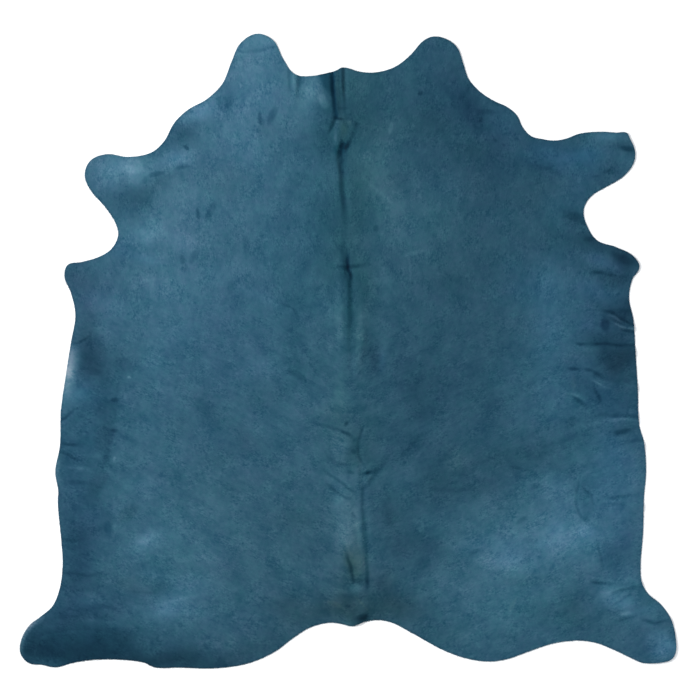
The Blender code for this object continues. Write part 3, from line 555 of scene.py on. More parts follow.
    ("left hind mid", -100, -95, 5, 5, 0, 0.15),
    ("right buttock", 29, -95, 6, 4, 0, -0.11),
    ("spine mid", -1, 3, 4, 2.4, 90, 0.06),
    ("spine low", 0, -35, 4, 3, 0, -0.08),
    ("spine back left", 0, -15, 4, 3, 0, 0.08),
    ("left side 1", -70, 55, 5, 4, 0, -0.09),
    ("left elbow rim", -90, 25, 4, 4, 0, -0.06),
    ("left barrel mid", -33, -15, 8, 5, 0, -0.08),
    ("left barrel low", -40, -25, 5, 5, 0, 0.08),
    ("left loin far", -40, -35, 5, 4, 0, -0.07),
    ("right barrel low", 52, -15, 8, 5, 0, -0.08),
    ("right loin back", 5, -35, 6, 5, 0, -0.09),
    ("right croup side", 10, -55, 5, 5, 0, -0.08),
    ("right haunch inner", 27, -55, 5, 4, 0, 0.08),
    ("right haunch low", 30, -65, 4, 3, 0, -0.07),
    ("left haunch far", -40, -75, 6, 4, 0, -0.06),
    ("left croup", -20, -85, 5, 4, 0, -0.08),
    ("right croup", 20, -85, 5, 4, 0, -0.09),
    ("right rump mid", 40, -95, 5, 3, 0, 0.08),
    ("neck left mid", -10, 86, 3, 3, 0, 0.06),
    ("right cheek side", 30, 84, 4, 4, 0, 0.07),
    ("right shank mid", 90, 65, 3, 4, 0, 0.07),
    ("back left near", -20, 25, 5, 5, 0, -0.03),
    ("back left far", -6, 25, 4, 5, 0, -0.02),
    ("right girth top", 88, 26, 6, 4, 0, -0.22),
    ("right girth upper", 82, 15, 4, 4, 0, -0.08),
    ("left girth low", -92, -14, 3, 5, 0, -0.12),
    ("hind warmth", 8, -64, 72, 34, 0, 0, 0, -0.03),
    ("middle warmth", 2, 20, 26, 50, 0, 0, 0, -0.02),
    ("left rib green", -21, 14, 13, 17, 0, 0, -0.07),
    ("left side green", -57, 0, 11, 21, 0, 0, -0.05),
    ("right shoulder green", 26, 47, 17, 11, 0, 0, -0.06),
    ("right hind green", 92, -82, 9, 11, 0, 0, -0.08),
    ("left flank green", -76, -36, 13, 14, 0, 0, -0.05),
    ("left hind green", -58, -80, 14, 8, 0, 0, -0.07),
    ("right neck green", 51, 76, 7, 4, 0, 0, -0.08),
    ("croup red", 12, -76, 8, 5, 0, 0, 0.1),
    ("left girth red", -85, 5, 6, 5, 0, 0, 0.1),
    ("right elbow red", 76, 35, 6, 5, 0, 0, 0.07),
)

# Smaller clouds that have no names of their own, with the same columns from x on.
CLOUDS = [
    Spot("cloud", *row)
    for row in (
        (36, 94, 4, 4, 0, -0.12), (-26, 74, 5, 6, 0, -0.12), (30, 75, 9, 5, 0, -0.09),
        (4.6, 65, 6, 3.6, 90, 0.26, 0.12), (68, 62, 6, 8, 90, -0.08, 0, 0.03), (-75, 54, 4, 4, 0, 0.1),
        (-60, 56, 8, 4, 0, -0.08), (-15, 56, 5, 4, 0, -0.07), (15, 56, 5, 4, 0, -0.08, 0.05),
        (-55, 35.5, 6, 4, 0, 0.14, 0.1), (-75, 34, 4, 3, 0, -0.08, 0, 0.07), (64, 36, 6, 5, 0, -0.1),
        (-45, 25, 5, 4, 0, 0.07), (-84, 17, 4, 4, 0, 0.22, 0.05), (-10, 15, 6, 5, 0, 0.07),
        (-55, 5, 6, 4, 0, 0.08), (5, 5, 5, 4, 90, 0.1, 0, -0.03), (83, 6, 5, 4, 0, -0.15, 0, 0.04),
        (-15, -5, 6, 4, 0, -0.1, -0.05), (12, -5, 6, 4, 0, -0.09, -0.05), (47, -5, 6, 4, 0, -0.08, -0.05),
        (76, -5, 5, 4, 0, -0.1, 0.04, 0.06), (-25, -15, 6, 4, 0, -0.08), (33, -15, 7, 4, 0, -0.08, 0, 0.03),
        (-4, -21, 9, 7, 90, 0.07, 0.12, -0.05), (25, -25, 5, 4, 0, 0.1, 0.05), (66, -26, 6, 4, 0, 0.07, 0.1),
        (86, -33, 15, 6, 90, -0.05, -0.08, 0.04), (-45, -35, 6, 4, 0, -0.11),
        (35, -35, 5, 4, 0, 0.15, 0.1, -0.08), (47, -45, 8, 5, 0, -0.08), (64, -36, 6, 4, 0, -0.09),
        (84, -46, 6, 5, 90, -0.16, -0.08), (93, -55, 7, 4, 90, -0.13), (-86, -55, 5, 4, 0, 0.13, 0.05, 0.03),
        (-17, -54, 7, 5, 0, -0.1), (15, -58, 9, 4, 90, -0.09), (59, -65, 9, 5, 0, -0.1, -0.06, 0.04),
        (94, -70, 8, 3, 90, 0.12, 0.06), (-38, -45, 8, 4, 0, -0.08), (-65, -76, 6, 4, 0, 0.09),
        (-26, -75, 5, 4, 0, -0.08), (0, -72, 5, 9, 0, -0.08, 0, -0.05), (34, -75, 5, 4, 0, 0.12, 0.05),
        (17, -84, 6, 5, 0, -0.07, 0.08), (-94, -86, 5, 3, 20, -0.14, 0, 0.05), (-84, -84, 6, 4, 0, 0.14),
        (-84, -95, 6, 4, 0, -0.11, -0.05, 0.03), (-106, -95, 3, 5, 0, 0.1),
        (-40, -96, 10, 4, 0, 0.1, 0.06, -0.04), (36, -95, 6, 4, 20, 0.12, 0.08, -0.04),
        (80, 65, 5, 4, 0, -0.06, -0.1, 0.03), (60, 22, 12, 8, 0, 0, -0.1, 0.04),
        (65, 4, 9, 6, 90, -0.07, -0.1, 0.03), (53, -10, 9, 6, 90, 0, -0.09), (22, 39, 8, 7, 0, 0, -0.1),
        (-27, 34, 15, 5, 90, 0, -0.1), (-46, 61, 8, 9, 0, 0, 0.07), (-61, -68, 20, 9, 90, 0, -0.09),
        (4, -32, 14, 9, 90, 0, 0, -0.06), (4, 20, 20, 6, 90, 0, 0, -0.035),
        (80, 12, 14, 6, 90, 0, 0.03, 0.05), (77, 54, 8, 5, 90, 0, -0.04, 0.05),
        (-88, -70, 12, 5, 90, 0, 0, 0.05), (0, 86, 14, 5, 0, 0, 0, -0.04), (8, 74, 7, 6, 0, 0, 0.07),
        (95, -40, 9, 3.5, 90, 0.14, 0.03), (3, -45, 4, 5, 0, 0.08), (-3, 10, 10, 4, 90, 0.08),
        (-15, 25, 4, 5, 0, 0.08), (-38, 26, 9, 4, 0, 0.06), (5, 86, 6, 4, 0, 0.09),
        (25, 95, 5, 4, 0, 0.08, 0.04), (37, 85, 5, 4, 0, 0.08), (-60, -36, 9, 4, 0, 0.08),
        (-29, -35, 8, 4, 0, 0.08), (-65, -45, 5, 4, 0, 0.08), (-65, -5, 5, 5, 0, 0.07),
        (-25, -5, 5, 4, 0, 0.07), (24, 65, 6, 4, 0, 0.07), (12, 22, 8, 5, 60, 0.07),
        (73, -50, 6, 6, 0, 0.07), (65, -94, 5, 3, 0, 0.07), (-75, -95, 5, 4, 0, 0.05),
        (-84, -84, 6, 3, 0, 0.1), (94, -76, 4, 4, 0, 0.08), (-75, 15, 5, 4, 0, 0.07),
        (35, -35, 5, 4, 0, 0.08), (85, 24, 6, 4, 90, -0.14), (85, 4, 5, 4, 90, -0.14),
        (85, -56, 5, 4, 0, -0.12), (65, 55, 5, 4, 0, -0.1), (-55, -25, 5, 4, 0, -0.1),
        (40, -38, 7, 4, 30, -0.1), (-25, 65, 5, 4, 0, -0.1), (46, 74, 5, 4, 0, 0.1), (-56, 35, 5, 4, 0, 0.1),
        (-7, -15, 6, 4, 0, 0.08), (26, -25, 5, 4, 0, 0.1), (-66, -25, 5, 4, 0, 0.1),
        (-65, -75, 5, 4, 0, 0.1), (85, -15, 5, 4, 0, 0.1),
    )
]

# Small marks with a crisp rim, with the same columns.
# The dark marks that sit in a fold or crease, or on its wall turned from the light, are painted shade: the
# nape wedge, crest left arm, withers hollow and knot, loin pip, loin sweep knot, dimple core, tail bar, tail
# notch core, the elbow dashes and the right hock and hind dashes.
MARKS = table(
    Spot,
    ("left neck smudge 1", -29, 76.9, 2.1, 0.6, 97, -0.54),
    ("left neck smudge 1 foot", -28.2, 75.4, 1, 0.7, 60, -0.14),
    ("left neck smudge 2", -25, 77.9, 3, 1.2, 65, -0.34),
    ("left cheek shade", -40.6, 81.9, 2.9, 2.4, 10, -0.2),
    ("left shoulder mark", -53.4, 67, 1, 0.55, -30, -0.7),
    ("left shank mark 1", -63.2, 58.4, 2.6, 0.8, 10, -0.4),
    ("left shank mark 2", -66.4, 56.6, 1.6, 1, 30, -0.16),
    ("left shank mark 3", -54.4, 60.6, 2.8, 0.5, 8, -0.16),
    ("left shank gleam", -70.2, 60.9, 2.8, 2.4, 20, 0.17),
    ("left armpit gleam", -68, 38.2, 2.6, 2, -15, 0.15),
    ("left armpit shade", -71.6, 34.2, 2.8, 0.9, -24, -0.14, -0.08),
    ("left ribs smudge 1", -49.5, 45.2, 2.1, 0.6, 98, -0.54),
    ("left ribs smudge 2", -45.4, 46, 3.4, 1.2, 64, -0.28),
    ("left ribs smudge 3", -54.6, 30.2, 1.7, 0.8, 97, -0.4),
    ("left ribs smudge 3 foot", -53.8, 27.4, 1.2, 1, 70, -0.14, 0.04),
    ("left ribs smudge 4", -50.8, 31.2, 2.4, 1.1, 66, -0.2),
    ("left ribs smudge 5", -48.4, 36.6, 2.8, 0.9, 68, -0.07, 0.03),
    ("left barrel smudge", -38.6, 21, 2.4, 1.2, 75, -0.18, -0.03),
    ("left withers smudge", -33.6, 34.6, 3.4, 0.9, 92, -0.15, -0.03),
    ("left back mark", -16.6, -8, 3.6, 1.1, -30, -0.26),
    ("left girth block 1", -83.6, -0.6, 6.6, 3.8, 88, -0.18, 0.06),
    ("left girth block 2", -84, -6.8, 4.4, 1.2, -4, -0.14, 0.04),
    ("left girth inner block", -74.2, -4.8, 4, 2.6, 0, -0.16),
    ("left flank dash 1", -76.9, -16.1, 1.3, 0.6, 4, -0.46),
    ("left flank dash 2", -77, -26.2, 1.3, 0.6, 0, -0.46),
    ("left flank dash 3", -79.4, -33, 1.3, 0.8, 8, -0.22),
    ("left flank gleam 1", -86, -38.6, 6, 0.5, 0, 0.06),
    ("left flank gleam 2", -85, -41.2, 4.4, 0.5, -3, 0.06),
    ("left flank gleam 3", -85.4, -34.4, 4, 0.5, -6, 0.12),
    ("left flank block", -85, -46.6, 3.6, 3, 60, -0.12),
    ("left flank mid block", -80.6, -18.6, 3.6, 2, 30, -0.12, 0.06),
    ("left flank low block", -80.4, -28.4, 4.6, 3, 60, -0.14, 0.08),
    ("left flank low mark", -79.6, -35.4, 1.4, 1.2, 60, -0.22),
    ("left flank foot block", -82.4, -43.6, 4.2, 2.2, 50, -0.12, 0.08),
    ("left girth pale", -86.4, -14.2, 3.4, 2, 0, 0.12, -0.08),
    ("left rib speck", -72.2, -8.8, 0.6, 0.5, 0, 0.55),
    ("left rib line", -66, 23.4, 3, 0.5, 4, 0.1),
    ("left belt foot", -66.6, -79.7, 5.2, 0.4, -5, -0.14),
    ("left flank speck", -77, -35.5, 0.6, 0.5, 70, 0.45),
    ("left haunch mark", -72.6, -53.6, 4, 2.2, 35, -0.14, 0, -0.04),
    ("left stifle mark", -79.2, -58.4, 2.2, 1.2, 92, -0.26, -0.12, 0.03),
    ("left haunch speck", -76.9, -57.9, 1, 0.6, 75, 0.22),
    ("left haunch gleam 1", -67.7, -62.8, 2.2, 1.3, 25, 0.1),
    ("left haunch gleam 2", -52.4, -68.5, 6.4, 0.9, 7, 0.12),
    ("left haunch belt", -67.4, -77.3, 8.6, 3, -4, -0.07, 0.04, -0.04),
    ("left hind block", -88.5, -97.4, 16.5, 5.2, -1, -0.2, -0.05),
    ("left thigh gleam", -60.6, -86, 3, 0.9, 28, 0.08),
    ("right neck mole", 23.9, 85, 0.95, 0.75, 20, -0.52, -0.05),
    ("right neck smudge 1", 37.4, 84.2, 1.7, 1.1, 70, -0.12),
    ("nape wedge", -6.9, 89.6, 5.2, 2, -70, -0.6, -0.2),
    ("nape light", -10.2, 84.4, 3.6, 3.2, -60, 0.12),
    ("nape light foot", -8.2, 82.4, 2.6, 1.3, -70, 0.36),
    ("withers hollow", -2.7, 66.2, 2, 1.6, 0, -0.1, -0.3),
    ("nape left shade", -15, 89.4, 1.6, 0.8, 90, -0.16),
    ("crest band", -1.6, 80, 1.8, 0.6, 0, -0.22),
    ("withers knot", -1.2, 67.6, 1.7, 1, 0, -0.55, -0.4),
    ("crest far spot", 2.7, 75, 0.8, 0.8, 0, -0.26),
    ("crest left arm", -5.6, 74.6, 1.4, 0.5, 66, -0.3),
    ("right neck smudge 2", 39.4, 86.6, 1.2, 0.6, 80, -0.2),
    ("right shoulder bar", 45.4, 78.9, 3.2, 0.9, -4, -0.26),
    ("right shoulder mole", 43.9, 76.4, 0.55, 0.9, 0, -0.42),
    ("right shoulder speck 1", 48.5, 69.5, 0.8, 0.5, -40, -0.36),
    ("right shoulder speck 2", 51.2, 67.9, 0.7, 0.4, -35, -0.28),
    ("back light gleam 1", 14.2, 73.6, 2.2, 0.7, 78, 0.24),
    ("back light gleam 2", 21, 74, 1.8, 0.6, 55, 0.14),
    ("back light gleam 3", 21.6, 32.2, 3.8, 0.7, 14, 0.2),
    ("right back mole", 9.2, 40.4, 1.1, 1, 0, -0.32),
    ("right shank end", 92, 66.8, 2, 0.9, -8, -0.36, -0.05),
    ("right shank mark 1", 85.8, 59.5, 1.8, 0.6, 25, -0.24),
    ("right shank mark 2", 81.6, 57.6, 1.6, 0.5, 10, -0.26),
    ("right armpit block", 75, 44.6, 2.6, 1.4, 0, -0.2),
    ("right armpit dash 1", 77.6, 42.2, 1.6, 0.7, -20, -0.3),
    ("right armpit dash 2", 79.2, 36.8, 1.7, 0.9, 0, -0.3),
    ("right armpit dash 3", 79, 49.9, 1.6, 0.6, 10, -0.24),
    ("elbow dash 1", 82.6, 25.8, 1.9, 0.5, -6, -0.32),
    ("elbow dash 2", 87, 25, 1.5, 0.5, -8, -0.24),
    ("right elbow block", 91.2, 30.2, 3.6, 1.3, -26, -0.22),
    ("right elbow foot mark", 90.6, 23.6, 2.4, 1.6, 0, -0.12),
    ("right girth dash 1", 74.2, -5.9, 1.6, 0.6, -4, -0.34),
    ("right girth dash 2", 79.2, -6.2, 1.3, 0.6, -10, -0.26),
    ("right girth dash 3", 77, 2.2, 1.5, 0.5, -4, -0.14),
    ("right girth blob", 84.9, 8.6, 2, 1.5, 100, -0.62, 0.16, 0.04),
    ("right girth dash 4", 82.2, -8.2, 1.5, 0.8, -30, -0.16),
    ("right girth line", 84, 2.4, 2.2, 0.5, 0, -0.2),
    ("right girth pale", 75.2, -2.4, 4.4, 2.4, 10, 0.02, 0.1),
    ("right flank gleam 1", 75.4, -14.4, 2, 0.7, -4, 0.1),
    ("right flank dash 2", 75.2, -16.2, 1.9, 0.7, -18, -0.14),
    ("right flank dash 3", 78, -18.2, 1.5, 0.8, -24, -0.12),
    ("right flank dash 4", 73.6, -23.6, 2.2, 1.4, 60, -0.14, 0, -0.02),
    ("right flank gleam 2", 82, -23.8, 3.2, 0.6, 6, 0.1),
    ("right girth top", 88.2, 13.2, 4.6, 0.8, 2, -0.22),
    ("right girth block 1", 84.2, -1.8, 2.6, 1.6, 0, -0.1),
    ("right girth block 2", 83, -8, 2.4, 0.9, -24, -0.18),
    ("right girth block 3", 89.6, -9.8, 3.4, 1, -4, -0.14, 0.04),
    ("right girth gleam", 74.4, -10.6, 0.9, 2.4, 0, 0.08, 0.06, -0.04),
    ("right flank block", 90.4, -26.6, 2.6, 1, 6, -0.24),
    ("right flank top", 86.6, -20.4, 4.4, 0.6, 0, -0.12),
    ("right flank dash", 82.5, -15, 1.9, 0.8, -48, -0.1),
    ("right back dash 1", 66, -30.8, 2.6, 0.6, 24, -0.1),
    ("right back dash 3", 59.5, -34.4, 2.4, 0.6, 18, -0.08),
    ("right loin dash 1", 55.4, -38.4, 2.3, 0.6, -14, -0.28),
    ("right loin dash 2", 59, -39.3, 1.2, 0.4, -6, -0.2),
    ("right loin dash 3", 61.9, -44.8, 1.8, 0.9, 15, -0.18),
    ("right loin dash 4", 44.8, -42.6, 2.4, 0.9, 0, -0.1),
    ("right loin dash 5", 51.2, -52, 2, 0.5, 4, -0.24),
    ("right haunch dash 1", 57.2, -55.7, 1.9, 0.7, 36, -0.32),
    ("right haunch dash 2", 41.6, -66.4, 2, 0.7, 38, -0.3),
    ("right haunch dash 3", 60.4, -62.6, 2.6, 1, -8, -0.14),
    ("right haunch gleam 1", 68.4, -58.6, 3, 2, 20, 0.06, 0, 0.02),
    ("right haunch gleam 2", 52.6, -69.4, 4.2, 2, 4, 0.06, 0, 0.02),
    ("right haunch gleam 3", 64.6, -63.6, 2.6, 1.6, 10, 0.08, 0, 0.02),
    ("right stifle dash", 78.5, -55.4, 1, 0.9, 0, -0.26),
    ("right stifle mark", 78.4, -49.4, 6.2, 2.2, 94, -0.15),
    ("right stifle foot", 87, -68.6, 6.4, 3, 102, -0.13),
    ("right hock dash", 82.5, -76.6, 2.3, 0.5, 0, -0.18),
    ("right hind dash", 100.2, -89.2, 2.6, 0.6, -4, -0.12),
    ("right haunch block 1", 73.6, -60.6, 5.4, 4.2, 20, 0.1),
    ("right haunch block 2", 69, -68.4, 5, 3.4, -10, 0.1),
    ("right haunch block 3", 78.6, -59.4, 3, 2.2, 0, 0.12, 0.02, 0.04),
    ("right haunch block 4", 66, -54.8, 3.4, 2, -20, 0.1),
    ("right haunch block 5", 47, -68.6, 4.6, 1.6, 0, 0.1),
    ("right haunch edge", 78, -69.4, 4.6, 2.4, 20, 0.08),
    ("right haunch low shade", 60, -75.6, 9, 2, 4, -0.08, 0, -0.02),
    ("right thigh gleam", 54.4, -83.6, 2.4, 0.7, 62, 0.15, 0.02, -0.05),
    ("right loin mark", 13.4, -54.4, 3.4, 0.9, 94, -0.08),
    ("loin pip", -0.6, -24.1, 0.8, 0.5, 60, -0.3),
    ("loin sweep knot", -0.7, -27, 1.5, 0.6, -24, -0.18),
    ("loin knot 1", 1.9, -33.2, 1, 0.7, -50, -0.3),
    ("loin knot 2", 0.9, -40, 1.2, 0.6, -10, -0.3),
    ("loin light 1", 3.2, -38.2, 1.6, 1, 20, 0.14),
    ("dimple core", 6.4, -40.1, 1.1, 0.5, 14, -0.26, -0.42),
    ("loin dark 1", 13.2, -47.6, 1.4, 1.4, 0, -0.08),
    ("loin wisp 1", -4, -30.8, 3.4, 1.6, 90, 0.1, 0.03),
    ("tail bar", 3.6, -75.4, 1.8, 0.4, 0, -0.4),
    ("tail side dash", 10.6, -76.4, 1.4, 0.4, 6, -0.22),
    ("tail box", 2.6, -78.2, 2, 1.4, 0, 0.2, -0.04),
    ("tail box side", -2.6, -79.2, 2.6, 0.9, -6, 0.18),
    ("tail streak 1", 3.6, -82.2, 2.6, 0.3, -40, 0.16, 0.04, -0.06),
    ("tail streak 2", 5.6, -84.6, 2.6, 0.3, -44, 0.16, 0.04, -0.06),
    ("tail streak 3", -4.6, -83.4, 2.8, 0.8, -20, 0.12, 0.04, -0.06),
    ("tail streak 4", -0.8, -83.4, 2, 0.5, -40, -0.14),
    ("tail notch core", 4.6, -87.6, 1.8, 0.9, 10, -0.34, -0.1),
)

